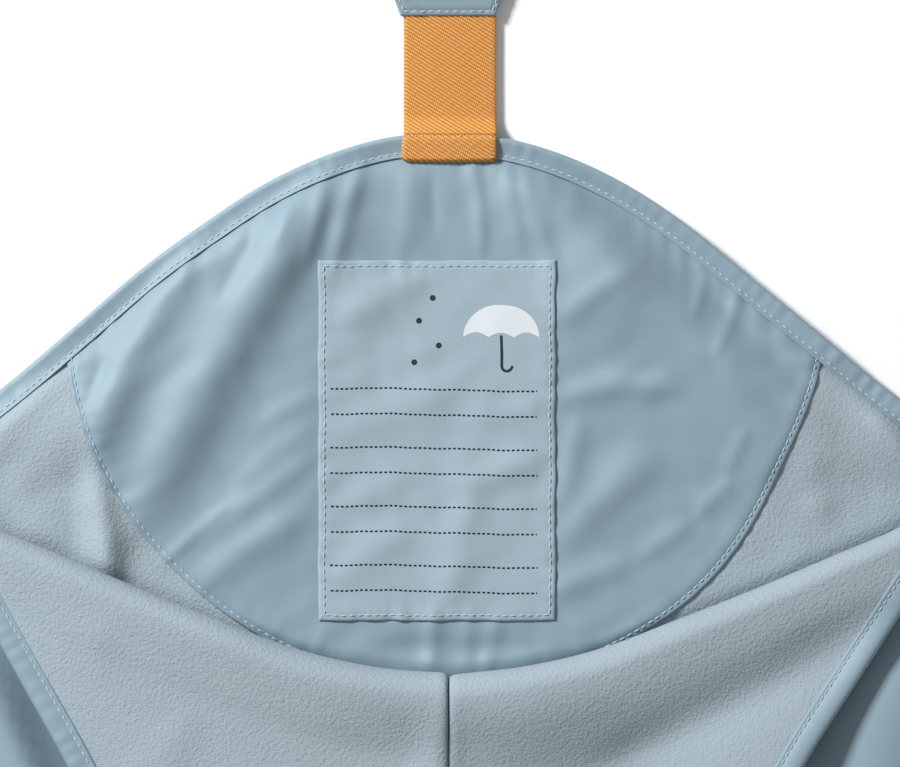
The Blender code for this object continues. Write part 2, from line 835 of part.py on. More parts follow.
def make_junction(collection, parent):
    """Brace junction: two layers with a web between, so that each end has a pocket."""
    low = JUNCTION_Y
    high = JUNCTION_Y + JUNCTION_LENGTH
    web_low = low + POCKET_DEPTH
    web_high = high - STRAP_TUCK
    levels = (0.0, SHELL, SHELL + JUNCTION_SLOT, 2.0 * SHELL + JUNCTION_SLOT)
    profile = [
        (low, levels[0]),
        (high, levels[0]),
        (high, levels[1]),
        (web_high, levels[1]),
        (web_high, levels[2]),
        (high, levels[2]),
        (high, levels[3]),
        (low, levels[3]),
        (low, levels[2]),
        (web_low, levels[2]),
        (web_low, levels[1]),
        (low, levels[1]),
    ]
    solid = bmesh.new()
    left = [solid.verts.new((-junction_half_width(y), y, z)) for y, z in profile]
    bmesh.ops.scale(solid, vec=(MM, MM, MM), verts=solid.verts)
    face = solid.faces.new(left)
    result = bmesh.ops.extrude_face_region(solid, geom=[face], use_keep_orig=True)
    for item in result["geom"]:
        if isinstance(item, bmesh.types.BMVert):
            item.co.x = -item.co.x
    bmesh.ops.recalc_face_normals(solid, faces=solid.faces)
    bmesh.ops.triangulate(solid, faces=solid.faces)
    mesh = bpy.data.meshes.new("junction")
    solid.to_mesh(mesh)
    solid.free()
    finish_object("strap_junction", mesh, "shell", collection, parent)


def make_straps(collection, parent):
    """Two braces that leave the junction along its flared sides and lie on the floor."""
    lean = math.atan(JUNCTION_FLARE)
    outer_x = junction_half_width(STRAP_START_Y) - STRAP_EDGE
    inner_x = outer_x - STRAP_WIDTH / math.cos(lean)
    along = Vector((math.sin(lean), math.cos(lean)))
    across = Vector((along.y, -along.x))
    outer_start = Vector((outer_x, STRAP_START_Y))
    outer_end = outer_start + along * STRAP_LENGTH
    inner_end = outer_end - across * STRAP_WIDTH
    meet_y = STRAP_START_Y - inner_x / JUNCTION_FLARE
    rest_y = JUNCTION_Y + JUNCTION_LENGTH
    rows = [rest_y, rest_y + STRAP_DROP / 2.0, rest_y + STRAP_DROP]
    rows += span(rows[-1], inner_end.y - STRAP_END_MARGIN, STRAP_STEPS)[1:]

    def place(x, y, height):
        drop = smooth((y - rest_y) / STRAP_DROP)
        return Vector((x, y, (SHELL + GAP) * (1.0 - drop) + height))

    for side, word in ((-1.0, "left"), (1.0, "right")):
        outline = [
            (0.0, STRAP_START_Y),
            (side * outer_start.x, STRAP_START_Y),
            (side * outer_end.x, outer_end.y),
            (side * inner_end.x, inner_end.y),
            (0.0, meet_y),
        ]
        drawing = strip_drawing(outline, rows)
        mesh = cut_piece(drawing, lambda x, y: inside(outline, x, y), 0.0, STRAP_THICKNESS, place)
        finish_object("strap_" + word, mesh, "shell", collection, parent)


def make_buttons(collection, parent):
    """Two buttons on the bib's outer side, which the folded bib hides."""
    for side, word in ((-1.0, "left"), (1.0, "right")):
        run = over_roll(side * BUTTON_X, BUTTON_Y)
        seat = place_front(side * BUTTON_X, run, FRONT_SHELL[1] + BUTTON_SHANK)
        ahead = place_front(side * BUTTON_X, run, FRONT_SHELL[1] + BUTTON_SHANK + 1.0)
        disc = bmesh.new()
        points = []
        for radius_share, height_share in BUTTON_PROFILE:
            radius = BUTTON_RADIUS * radius_share * MM
            points.append(disc.verts.new((radius, 0.0, BUTTON_THICKNESS * height_share * MM)))
        edges = [disc.edges.new(pair) for pair in zip(points, points[1:])]
        bmesh.ops.spin(
            disc,
            geom=points + edges,
            axis=(0.0, 0.0, 1.0),
            cent=(0.0, 0.0, 0.0),
            steps=BUTTON_STEPS,
            angle=2.0 * math.pi,
        )
        bmesh.ops.remove_doubles(disc, verts=disc.verts, dist=1e-6)
        bmesh.ops.recalc_face_normals(disc, faces=disc.faces)
        mesh = bpy.data.meshes.new("button")
        disc.to_mesh(mesh)
        disc.free()
        button = finish_object("button_" + word, mesh, "button", collection, parent)
        button.location = seat * MM
        button.rotation_mode = "QUATERNION"
        button.rotation_quaternion = (ahead - seat).to_track_quat("Z", "Y")


def strap_top():
    """Y of the braces' ends."""
    lean = math.atan(JUNCTION_FLARE)
    return STRAP_START_Y + STRAP_LENGTH * math.cos(lean) + STRAP_WIDTH * math.sin(lean)


def main():
    for obj in list(bpy.data.objects):
        bpy.data.objects.remove(obj, do_unlink=True)
    collection = bpy.data.collections.new("rain_trousers")
    bpy.context.scene.collection.children.link(collection)
    middle = bpy.data.objects.new("middle", None)
    middle.location.y = -(strap_top() + HEM_Y) / 2.0 * MM
    collection.objects.link(middle)
    make_back(collection, middle)
    make_front(collection, middle)
    make_elastic(collection, middle)
    make_junction(collection, middle)
    make_straps(collection, middle)
    make_buttons(collection, middle)


main()
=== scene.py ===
import math

import bmesh
import bpy
import numpy as np
from mathutils import Matrix, Vector


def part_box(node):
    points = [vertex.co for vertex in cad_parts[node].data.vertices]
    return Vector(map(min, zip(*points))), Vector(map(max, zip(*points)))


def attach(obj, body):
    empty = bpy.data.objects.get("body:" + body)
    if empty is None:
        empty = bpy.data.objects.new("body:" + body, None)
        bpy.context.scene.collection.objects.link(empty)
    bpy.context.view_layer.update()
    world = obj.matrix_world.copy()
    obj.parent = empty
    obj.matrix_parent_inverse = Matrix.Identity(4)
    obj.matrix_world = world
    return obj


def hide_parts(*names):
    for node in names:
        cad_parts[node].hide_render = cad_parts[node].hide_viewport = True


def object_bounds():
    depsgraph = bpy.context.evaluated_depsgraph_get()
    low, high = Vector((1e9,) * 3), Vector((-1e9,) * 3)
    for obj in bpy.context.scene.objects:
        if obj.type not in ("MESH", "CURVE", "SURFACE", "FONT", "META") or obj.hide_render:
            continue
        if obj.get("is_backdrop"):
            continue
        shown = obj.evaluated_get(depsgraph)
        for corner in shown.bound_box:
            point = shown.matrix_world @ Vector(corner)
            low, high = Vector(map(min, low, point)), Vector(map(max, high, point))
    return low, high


bl_info = {
    "name": "Lined Rain Trousers",
    "version": (1, 0, 0),
    "blender": (4, 5, 0),
    "location": "View3D > Sidebar > Rain Trousers",
    "description": "Dresses a child's lined rain trousers, laid flat with the bib folded down",
    "category": "Object",
}

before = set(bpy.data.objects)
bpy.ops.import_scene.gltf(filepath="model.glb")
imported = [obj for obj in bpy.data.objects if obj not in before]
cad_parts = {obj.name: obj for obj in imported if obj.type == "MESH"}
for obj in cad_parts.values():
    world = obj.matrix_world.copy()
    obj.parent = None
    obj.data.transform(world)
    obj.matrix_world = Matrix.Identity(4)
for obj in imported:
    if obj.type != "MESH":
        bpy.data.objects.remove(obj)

MM = 0.001
TURN = 2.0 * math.pi

# Cloth, in millimetres; in the drawings X is the picture's right, Y runs towards the braces and
# (0, 0) is the middle of the back's top edge
SHELL = 1.2
FLEECE = 2.2
FACING = 1.0
GAP = 0.3
BACK_LINING_LOW = SHELL + GAP
BACK_LINING_HIGH = BACK_LINING_LOW + FLEECE
YOKE_LOW = BACK_LINING_HIGH + GAP
YOKE_HIGH = YOKE_LOW + FACING
PATCH_LOW = YOKE_HIGH + GAP
FRONT_SHELL_LOW = FLEECE + GAP
FRONT_SHELL_HIGH = FRONT_SHELL_LOW + SHELL

# Sewing: pitch, length and radius of special stitches, and how far a row lies inside an edge
ELASTIC_STITCH = (1.25, 1.05, 0.19)
BUTTONHOLE_STITCH = (5.0, 1.6, 0.26)
THREAD_LIFT = 0.12
SEAM_INSET = 1.7
PATCH_SEAM_INSET = 1.9
JUNCTION_SEAM_INSET = 1.6
BRACE_SEAM_INSET = 2.0
MIDDLE_ROW_X = 2.6
HEM_DEPTH = 18.0
TAPE_ROW = 5.6
BIB_TAPE_ROW = 6.4

# Rings along a stitch and sides round it, which its caps of two quads need to be six
STITCH_RINGS = 6
STITCH_SIDES = 6

# Main lines of the trousers
SIDES = ((-1.0, "left"), (1.0, "right"))
SIDE_X = 177.0
UNDERARM_Y = -108.6
CROTCH_Y = -372.0
HEM_Y = -790.0
LINING_END_Y = -345.0
LINING_SWEEP = 12.0
LINING_WIDE_Y = -150.0
BIB_TOP_Y = -328.0
SEAM_ALLOWANCE = 11.0
TAPE_INSET = 1.2
TAPE_WIDTH = 7.0

# Top edge of the back: distance from the middle, y on the left, y on the right
TOP_EDGE = (
    (0, 0.8, 0.8), (20, -0.9, -1.3), (40, -6.7, -7.4), (60, -16, -17.2), (80, -29, -30.8),
    (100, -43.6, -47.2), (120, -60.8, -63.6), (140, -78, -80.2), (160, -94, -95.5),
    (SIDE_X, UNDERARM_Y, UNDERARM_Y),
)

# Side seam and inner leg seam: y, distance from the middle
SIDE_SEAM = (
    (HEM_Y, 172), (-650, 174.5), (-500, 178), (CROTCH_Y, 180), (-230, 180), (-160, 178.5),
    (UNDERARM_Y, SIDE_X),
)
INNER_SEAM = (
    (HEM_Y, 20), (-600, 15.5), (-450, 12), (-400, 8.5), (-380, 4), (CROTCH_Y, 0),
)

# Line where the bib folds over: distance from the middle, y
FOLD_LINE = (
    (0, -175.6), (25, -173), (50, -167.3), (75, -157.9), (100, -147.9), (125, -137.2), (150, -126.2),
    (SIDE_X, UNDERARM_Y),
)

# Sides of the folded bib, seen from above: y, x on the left, x on the right
BIB_SIDE = (
    (BIB_TOP_Y, -87, 78), (-280, -94, 85.5), (-240, -107, 98), (-206, -123.4, 115.1),
    (-180, -137.8, 131.6), (-155, -151.6, 147.7), (-130, -165.4, 163.6),
    (UNDERARM_Y, -SIDE_X, SIDE_X),
)

# The roll where the bib turns over, and the height of the bib lying on the front
ROLL_RADIUS_MIDDLE = 10.0
ROLL_RADIUS_SIDE = 6.0
ROLL_FLATNESS = 0.78
FLAP_DIP_MIDDLE = 4.5
FLAP_DIP_SIDE = 1.5
FLAP_DIP_LENGTH = 22.0
FLAP_DIP_LENGTH_RIGHT = 32.0
FLAP_FALL = 3.5
FLAP_LENGTH = 142.0
BIB_INSET = 1.0
FRONT_ON_LINING = BACK_LINING_HIGH + GAP
FRONT_ON_SHELL = SHELL + GAP - FRONT_SHELL_LOW
STEP_LENGTH = 50.0
RISE_START_Y = LINING_WIDE_Y - 18.0
RISE_LENGTH = 17.0
LEG_PUFF = 2.2
PUFF_EDGE = 45.0

# Yoke facing
YOKE_CENTRE_Y = -62.0
YOKE_RADIUS = 121.0
YOKE_DEPTH = 118.0
YOKE_CORNER_ANGLE = math.radians(3.0)

# How far the yoke's sides stand off a round arc: y, on the left, on the right
YOKE_SIDE_SHIFT = (
    (-190, 0, 0), (-150, 0, 0), (-108, -2.8, -2.6), (-68, -4.2, 2), (-40, -4.2, 2),
)

# Name patch
PATCH_LEFT = -42.4
PATCH_RIGHT = 35.2
PATCH_TOP = -40.8
PATCH_BOTTOM = -158.5
FILM_LIFT = 0.05

# Umbrella: x and y of its middle, radius; and the dots beside it: x, y
UMBRELLA = (17.5, -66.0, 12.5)
DOTS = ((-5.0, -53.0), (-9.5, -60.5), (-3.0, -68.5), (-11.0, -74.0))

# Broad folds: start x, start y, end x, end y, half width, height
BACK_FOLDS = (
    (-112, -96, -66, -36, 24, 2.8), (-134, -84, -126, -92, 30, 2), (-56, -124, -38, -36, 26, 1.6),
    (30, -24, 52, -50, 24, 2.2), (52, -50, 106, -94, 26, 3), (-152, -100, -136, -98, 22, 2),
    (146, -96, 128, -98, 22, 2.4),
)
FLAP_FOLDS = (
    (-12, -197, -100, -168, 17, -1.2), (-26, -300, -12, -225, 22, 1.6), (30, -290, 20, -236, 22, 1.4),
)
LEG_FOLDS = (
    (14, -392, 120, -352, 20, 2.6), (-14, -392, -112, -346, 20, 2.4), (26, -420, 92, -470, 20, 2.2),
    (-26, -424, -98, -462, 20, 2.4), (150, -560, 58, -598, 22, 2.4), (-60, -566, -150, -604, 22, 2.2),
    (44, -640, 132, -664, 20, 1.8), (-140, -690, -50, -704, 20, 2),
)
FOLD_FADE = 16.0
FADE_START = 6.0
NORMAL_STEP = 0.5

# Creases: start x, start y, end x, end y, half width, height, bend to the left
BACK_CREASES = (
    (-27, 10, -113, -144, 14.5, 5.8, 0), (-72, -20, -121, -116, 8.5, 2.3, -3),
    (-97, -56, -118, -98, 6.5, 0.9, -1), (-110, -70, -119, -90, 3.5, -0.6, 0),
    (-60, -24, -76, -56, 5, -1.1, 1), (-50, -17, -58, -38, 3.6, 0.8, 1),
    (-38, -8, -48, -46, 4, 0.9, 0.6), (-26, -3, -38, -48, 5, 1.7, -1.2),
    (-12, -6, -16, -44, 6, 0.9, 0.8), (-5, -8, -4, -34, 2.6, -0.5, -0.4),
    (8.5, -6, 11, -44, 3.2, 0.9, 0.6), (19, -5, 25, -42, 4, 0.7, -0.8),
    (23, -8, 38, -52, 4.6, 0.8, -1), (-96, -144, -68, -118, 3.4, 0.7, 1),
    (-84, -136, -38, -102, 5.6, 0.9, 1.6), (-86, -152, -42, -120, 7.5, 1.4, 2),
    (-64, -96, -38, -82, 4.6, 0.8, 0.6), (-72, -118, -40, -92, 5.4, 0.7, 1.4),
    (12, -6, 116, -106, 9, 1.8, 4), (22, -2, 122, -88, 8.5, -1.8, 5), (80, -62, 128, -96, 8, 1.6, -1),
    (32, -64, 66, -40, 5.4, 1.2, 1), (30, -88, 80, -84, 6, 1.6, 4), (36, -126, 44, -88, 6, 1.1, 0),
    (34, -138, 74, -100, 9.5, 1.9, 3), (30, -152, 62, -138, 6.4, 1.2, 1),
    (-30, -166, 34, -166, 6, -1.4, -2), (60, -140, 82, -124, 5, 0.7, 0),
    (96, -48, 86, -74, 3.8, 0.7, 0.8), (85, -44, 79, -62, 3.2, 0.5, 0),
    (90, -112, 98, -94, 4.4, 0.6, 0), (80, -126, 94, -110, 4.4, 0.6, 0),
    (-5, -150, -6, -180, 4, 1, 0.4), (7, -152, 5, -180, 3.4, 0.5, 0),
    (17, -154, 13, -178, 4, 0.7, -0.5), (-117, -102, -111, -162, 7.5, 5.4, 2),
    (-144, -106, -124, -140, 10, 1.2, 0), (136, -88, 152, -110, 5.4, 1.2, 1),
    (116, -98, 123, -130, 9, 1, 0), (-158, -96, -126, -80, 9, 0.8, 0),
)
PATCH_CREASES = (
    (-40, -64, -4, -44, 9, 1.3, 1), (-42, -102, 12, -82, 10, 1, 3), (-4, -116, 38, -106, 8, 1.2, 1.4),
    (2, -94, 38, -86, 6, 0.6, 0), (-3, -160, 8, -108, 9, 1.2, -2), (-42, -148, -8, -126, 9, 1.1, 1),
    (-42, -124, -2, -108, 8, 0.7, 1),
)
BACK_PUFF = 2.6
CRUMPLE_DEPTH = 0.1
CRUMPLE_SIZE = 14.0
FLAP_CREASES = (
    (-4, -160, -5, -345, 10, 1.6, 0), (0, -182, 90, -160, 12, 1.2, 3),
    (-22, -234, 96, -203, 26, -5.4, 2), (36, -212, 156, -146, 13, -3.2, -4),
    (78, -250, 132, -184, 17, 2.2, 2), (-150, -150, 6, -202, 15, 1.9, -4),
    (-84, -248, -14, -214, 16, 1.2, 3), (-108, -226, -80, -184, 11, 0.9, 0),
    (-66, -292, -14, -250, 17, 1.2, 3), (18, -296, 80, -252, 16, 1.2, 4),
    (-82, -296, -34, -320, 10, -0.6, -2), (10, -316, 64, -298, 10, -0.6, 2),
)
FLAP_DROOP_LEFT = 1.8
FLAP_DROOP_RIGHT = -0.5
FLAP_DROOP_WIDTH = 12.0
LEG_CREASES = (
    (-168.5, -138, -99.5, -292, 12, 12.5, -1), (168, -134, 110, -292, 28, 6.4, 0),
    (10, -385, 96, -414, 8, 1.5, 4), (-12, -386, -104, -420, 8, 1.4, -5),
    (8, -378, 130, -372, 7, 1.1, 3), (-8, -378, -120, -366, 7, 1.2, -4),
    (22, -440, 70, -520, 9, 1.4, 5), (-24, -446, -64, -532, 9, 1.3, -6),
    (168, -470, 104, -500, 8, 1.2, -3), (-170, -482, -108, -512, 8, 1.2, 3),
    (166, -574, 86, -566, 7, 1.3, 4), (-168, -584, -80, -576, 7, 1.4, -4),
    (28, -600, 104, -628, 8, 1.2, -3), (-30, -612, -112, -636, 8, 1.1, 3),
    (162, -680, 92, -704, 8, 1, 3), (-160, -664, -96, -676, 8, 1, -2),
    (40, -712, 60, -764, 9, 0.9, 2), (-44, -720, -70, -768, 9, 0.9, -2),
)

# Elastic: its middle, width, and the height of its underside along its length (y, height)
ELASTIC_X = 0.6
ELASTIC_WIDTH = 30.2
ELASTIC_THICKNESS = 1.6
ELASTIC_HEIGHTS = (
    (-8.8, 6.5), (1, 6.5), (2.4, 4.8), (4.2, 2.4), (7, 1.5), (51, 1.5),
)
ELASTIC_EDGE = 0.5
ELASTIC_END_Y = -8.8
ELASTIC_SEAM_Y = -0.3
ELASTIC_RELIEF = 0.5
RIB_PITCH = 1.25
RIB_SLOPE = 0.62
YARN_PITCH = 0.74
YARN_SLOPE = 0.3

# Brace junction
JUNCTION_Y = 39.1
JUNCTION_LENGTH = 32.0
JUNCTION_WIDTH = 31.0
JUNCTION_FLARE = 0.37
JUNCTION_SLOT = 2.2
JUNCTION_HEIGHT = 2.0 * SHELL + JUNCTION_SLOT
POCKET_DEPTH = 12.5

# Braces and buttons
STRAP_WIDTH = 25.0
STRAP_LENGTH = 350.0
STRAP_THICKNESS = 1.6
STRAP_EDGE = 0.6
STRAP_TUCK = 16.4
STRAP_DROP = 14.0
STRAP_START_Y = JUNCTION_Y + JUNCTION_LENGTH - STRAP_TUCK + GAP
BUTTON_X = 58.0
BUTTON_Y = -306.0
BUTTON_RADIUS = 10.0
BUTTON_THICKNESS = 2.4
BUTTON_SHANK = 0.9
BUTTONHOLES = (16.0, 46.0, 76.0)
BUTTONHOLE_HALF = 9.0

# Half section of a button: share of its radius, share of its thickness
BUTTON_PROFILE = (
    (0, 0.62), (0.3, 0.6), (0.55, 0.62), (0.66, 0.7), (0.74, 0.92), (0.82, 1), (0.92, 0.96),
    (0.99, 0.78), (1, 0.5), (0.98, 0.22), (0.9, 0.04), (0.82, 0), (0, 0),
)

# Sections of the edge tapes: distance inside the edge, height over the cloth's face
BACK_TAPE_SECTION = np.array((
    (7, 0), (7.08, 0.3), (6.95, 0.25), (6.6, 0.38), (6.1, 0.36), (5.6, 0.25), (5.1, 0.48),
    (4.4, 0.8), (3.4, 1.24), (2.4, 1.66), (1.5, 2), (0.8, 2.05), (0.25, 1.65), (-0.1, 0.5),
    (-0.22, -1.5), (-0.12, -3.1), (0.15, -3.75), (0.6, -4), (1, -3.8), (1.05, -0.6), (1.3, -0.1),
    (3.5, 0),
))
BIB_SECTION = np.array((
    (8, -0.1), (8.1, 0.15), (7.9, 0.42), (7.4, 0.56), (6.9, 0.54), (6.4, 0.38), (5.9, 0.58),
    (5, 0.9), (3.8, 1.14), (2.6, 1.28), (1.4, 1.28), (0.6, 1), (0.05, 0.6), (-0.3, -0.2),
    (-0.4, -1.5), (-0.3, -3), (0.2, -4.1), (1, -4.6), (2.4, -4.8), (4.5, -4.75), (6.4, -4.45),
    (7.6, -4.7), (8, -4.4), (7.8, -3.9), (4.5, -3.85), (1.6, -3.8), (0.95, -3.2), (0.85, -0.6),
    (1.2, 0.05), (4, 0.1),
))

# Stage, in metres
FLOOR_GAP = 0.00005
FILL_OFFSET = (0.4, -0.6, 2.6)
FILL_SIZE = 2.6
STUDIO_COLOUR = (0.96, 0.98, 1.0, 1.0)
SENSOR_WIDTH = 36.0

# The drawings' zero in the frame, along Y
FRAME_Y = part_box("back_left")[0].y / MM - HEM_Y - GAP / 2.0


# Curves and surfaces, for numpy arrays of points

def smooth(value):
    """Ease from 0 to 1."""
    value = np.clip(value, 0.0, 1.0)
    return value * value * (3.0 - 2.0 * value)


def rounded(share):
    """Height of a quarter-round edge, from 0 to 1."""
    return np.sqrt(np.clip(1.0 - (1.0 - np.clip(share, 0.0, 1.0)) ** 2, 0.0, 1.0))


def ridge(value, centre, width):
    """Smooth ridge, 1 high."""
    return np.exp(-((value - centre) / width) ** 2)


def fading(distance, reach):
    """From 1 at an edge towards 0 inside it."""
    return np.exp(-np.clip(distance, 0.0, None) / reach)


def follow(table, value, column=1):
    """Read a column of a table at values of its first column, with rounded corners."""
    rows = np.array(sorted(table))
    key = rows[:, 0]
    data = rows[:, column]
    value = np.clip(np.asarray(value, float), key[0], key[-1])
    index = np.clip(np.searchsorted(key, value, side="left") - 1, 0, len(key) - 2)
    before = np.maximum(index - 1, 0)
    after = np.minimum(index + 2, len(key) - 1)
    span = key[index + 1] - key[index]
    slope_in = (data[index + 1] - data[before]) / (key[index + 1] - key[before]) * span
    slope_out = (data[after] - data[index]) / (key[after] - key[index]) * span
    part = (value - key[index]) / span
    square = part * part
    cube = square * part
    return (
        (2.0 * cube - 3.0 * square + 1.0) * data[index]
        + (cube - 2.0 * square + part) * slope_in
        + (3.0 * square - 2.0 * cube) * data[index + 1]
        + (cube - square) * slope_out
    )


def follow_side(table, value, side):
    """Read a table's left column where the side is negative, and else its right one."""
    return np.where(np.asarray(side) < 0.0, follow(table, value, 1), follow(table, value, 2))


def together(*parts):
    """Points from arrays of their coordinates."""
    return np.stack(np.broadcast_arrays(*parts), axis=-1)


def normals(surface, x, y):
    """Unit normals of a surface, which gives the points at x and y."""
    across = surface(x + NORMAL_STEP, y) - surface(x - NORMAL_STEP, y)
    along = surface(x, y + NORMAL_STEP) - surface(x, y - NORMAL_STEP)
    normal = np.cross(across, along)
    return normal / np.linalg.norm(normal, axis=-1, keepdims=True)


def top_edge_y(x):
    """Top edge of the back."""
    return follow_side(TOP_EDGE, np.abs(x), x)


def fold_y(x):
    """Line where the bib folds over."""
    return follow(FOLD_LINE, np.abs(x))


def roll_radius(x):
    """Radius of the fleece's face round the roll."""
    share = np.minimum(1.0, np.abs(x) / SIDE_X) ** 4
    return ROLL_RADIUS_MIDDLE + (ROLL_RADIUS_SIDE - ROLL_RADIUS_MIDDLE) * share


def roll_reach(x):
    """How far the roll reaches out, less than its radius because the cloth isn't quite round."""
    return roll_radius(x) * ROLL_FLATNESS


def roll_turn(x):
    """Length of cloth for each radian of the roll."""
    return roll_radius(x) * (1.0 + ROLL_FLATNESS) / 2.0


def roll_start(x):
    """Y where the front leaves the back to turn over."""
    return fold_y(x) - roll_reach(x)


def relief(folds, x, y):
    """Height of the broad folds."""
    height = np.zeros(np.broadcast(x, y).shape)
    for start_x, start_y, end_x, end_y, half_width, rise in folds:
        along_x = end_x - start_x
        along_y = end_y - start_y
        square = along_x * along_x + along_y * along_y
        part = np.clip(((x - start_x) * along_x + (y - start_y) * along_y) / square, 0.0, 1.0)
        share = np.hypot(x - start_x - along_x * part, y - start_y - along_y * part) / half_width
        height += rise * np.clip(1.0 - share * share, 0.0, None) ** 2
    return height


def creases(table, x, y):
    """Height of the narrow creases, which bend and fade out at both ends."""
    height = np.zeros(np.broadcast(x, y).shape)
    for start_x, start_y, end_x, end_y, half_width, rise, bend in table:
        length = math.hypot(end_x - start_x, end_y - start_y)
        along_x = (end_x - start_x) / length
        along_y = (end_y - start_y) / length
        part = ((x - start_x) * along_x + (y - start_y) * along_y) / length
        sideways = (y - start_y) * along_x - (x - start_x) * along_y
        fade = smooth(1.5 * (1.0 - np.abs(2.0 * part - 1.0)))
        width = half_width * (0.55 + 0.45 * fade)
        share = (sideways - 4.0 * bend * part * (1.0 - part)) / width
        height += rise * np.exp(-2.0 * share * share) * fade
    return height


def crumple(x, y, size):
    """Shallow uneven hollows all over a cloth, of about one size."""
    turn = TURN / size
    bent_x = x + 0.3 * size * np.sin(y * turn * 0.31 + 0.7)
    bent_y = y + 0.3 * size * np.sin(x * turn * 0.27 + 2.1)
    height = np.sin(bent_x * turn * 0.9 + bent_y * turn * 0.35)
    height = height + np.sin(bent_y * turn * 0.8 - bent_x * turn * 0.5 + 1.3)
    height = height * np.sin(bent_x * turn * 0.23 + bent_y * turn * 0.31 + 2.9)
    return height + 0.6 * np.sin(bent_x * turn * 0.55 - bent_y * turn * 0.62 + 4.1)


def puckers(run, depth, pitch, seed):
    """Small uneven ripples along a seam."""
    wave = np.zeros_like(run)
    for index, share in enumerate((1.0, 0.73, 1.37)):
        phase = seed * 1.7 + index * 2.1
        swell = 0.5 + 0.5 * np.sin(run * share / pitch * 0.61 + phase * 3.0)
        wave += np.sin(TURN * run * share / pitch + phase) * swell
    return wave * depth / 2.0


def back_lift(x, y):
    """How far the back is off the floor: only in folds above the roll."""
    above_roll = smooth((y - fold_y(x) + FADE_START) / FOLD_FADE)
    below_edge = smooth((top_edge_y(x) - y) / FOLD_FADE)
    return relief(BACK_FOLDS, x, y) * above_roll * below_edge


def back_creases(x, y):
    """Creases in the back, and the air under it that they press into."""
    below_edge = smooth((top_edge_y(x) - y - 1.0) / 14.0)
    above_roll = smooth((y - fold_y(x) + 5.0) / 9.0)
    hollows = CRUMPLE_DEPTH * crumple(x, y, CRUMPLE_SIZE)
    air = (BACK_PUFF + hollows) * below_edge * above_roll
    return air + creases(BACK_CREASES, x, y) * smooth((top_edge_y(x) - y + 1.0) / 9.0) * above_roll


def place_back(x, y, height):
    """Lay points of the back's drawing in place."""
    x, y = np.broadcast_arrays(x, y)
    lift = np.maximum(back_lift(x, y) + back_creases(x, y), 0.0)
    return together(x, y, lift + height)


def front_rest(x, y):
    """Height of the fleece's face where the front lies on the back."""
    lined = smooth((y - LINING_END_Y + STEP_LENGTH + GAP) / STEP_LENGTH)
    near_roll = smooth((y - RISE_START_Y) / RISE_LENGTH)
    side = follow(SIDE_SEAM, y)
    from_side = (side - np.abs(x)) / SEAM_ALLOWANCE
    within = np.maximum(smooth(from_side), near_roll)
    height = FRONT_ON_SHELL + (FRONT_ON_LINING - FRONT_ON_SHELL) * lined * within
    below = smooth((LINING_END_Y - y) / STEP_LENGTH)
    inner = np.where(y > CROTCH_Y, -np.inf, follow(INNER_SEAM, y))
    from_edges = np.minimum(side - np.abs(x), np.abs(x) - inner)
    soft = smooth(from_edges / PUFF_EDGE)
    return height + below * soft * (LEG_PUFF + relief(LEG_FOLDS, x, y))


def flap_height(x, back):
    """Height of the folded bib's fleece face, by the distance behind the roll's crest."""
    middle = 1.0 - (x / SIDE_X) ** 2
    dip = FLAP_DIP_SIDE + (FLAP_DIP_MIDDLE - FLAP_DIP_SIDE) * middle
    length = FLAP_DIP_LENGTH + (FLAP_DIP_LENGTH_RIGHT - FLAP_DIP_LENGTH) * smooth(x / 50.0)
    dip = dip * smooth(back / length)
    fall = FLAP_FALL * middle * back / FLAP_LENGTH
    plan_y = roll_start(x) - back
    fade = smooth(back / FOLD_FADE)
    folds = (relief(FLAP_FOLDS, x, plan_y) + creases(FLAP_CREASES, x, plan_y)) * fade
    from_edge = np.abs(bib_side_x(x, plan_y)) - np.abs(x)
    droop = np.where(x < 0.0, FLAP_DROOP_LEFT, FLAP_DROOP_RIGHT)
    folds -= droop * fading(from_edge, FLAP_DROOP_WIDTH) * fade
    return FRONT_ON_LINING + 2.0 * roll_radius(x) - dip - fall + folds


def front_face(x, run):
    """Points on the fleece's face of the front; run is the distance along the cloth."""
    radius = roll_radius(x)
    start = roll_start(x)
    past = run - start
    turn = roll_turn(x)
    angle = np.clip(past / turn, 0.0, math.pi)
    round_y = start + roll_reach(x) * np.sin(angle)
    round_z = FRONT_ON_LINING + radius * (1.0 - np.cos(angle))
    back = np.maximum(0.0, past - math.pi * turn)
    y = np.where(past <= 0.0, run, np.where(back > 0.0, start - back, round_y))
    flat_z = front_rest(x, np.minimum(run, start))
    z = np.where(past <= 0.0, flat_z, np.where(back > 0.0, flap_height(x, back), round_z))
    return together(x, y, z)


def place_front(x, run, height):
    """Lay points of the front's drawing in place, offset from the fleece's face."""
    x, run = np.broadcast_arrays(np.asarray(x, float), np.asarray(run, float))
    return front_face(x, run) + normals(front_face, x, run) * np.asarray(height)[..., None]


def over_roll(x, y):
    """Distance along the cloth of points of the folded bib seen from above."""
    turn = roll_turn(x)
    past = y - roll_start(x)
    angle = math.pi - np.arcsin(np.clip(past / roll_reach(x), 0.0, 1.0))
    flat = roll_start(x) + math.pi * turn - past
    return np.where(past <= 0.0, flat, roll_start(x) + angle * turn)


def bib_side_x(side, y):
    """Side of the folded bib seen from above; a negative side is the left one."""
    return follow_side(BIB_SIDE, y, side)


def spread(count, narrow_start=0.0, narrow_end=0.0):
    """Shares from 0 to 1, closer together towards an end that is to be narrow."""
    share = np.linspace(0.0, 1.0, count + 1)
    start_eased = 1.0 - np.cos(share * math.pi / 2.0)
    end_eased = np.sin(share * math.pi / 2.0)
    if narrow_start and narrow_end:
        return share + (smooth(share) - share) * narrow_start
    if narrow_start:
        return share + (start_eased - share) * narrow_start
    return share + (end_eased - share) * narrow_end


# Meshes

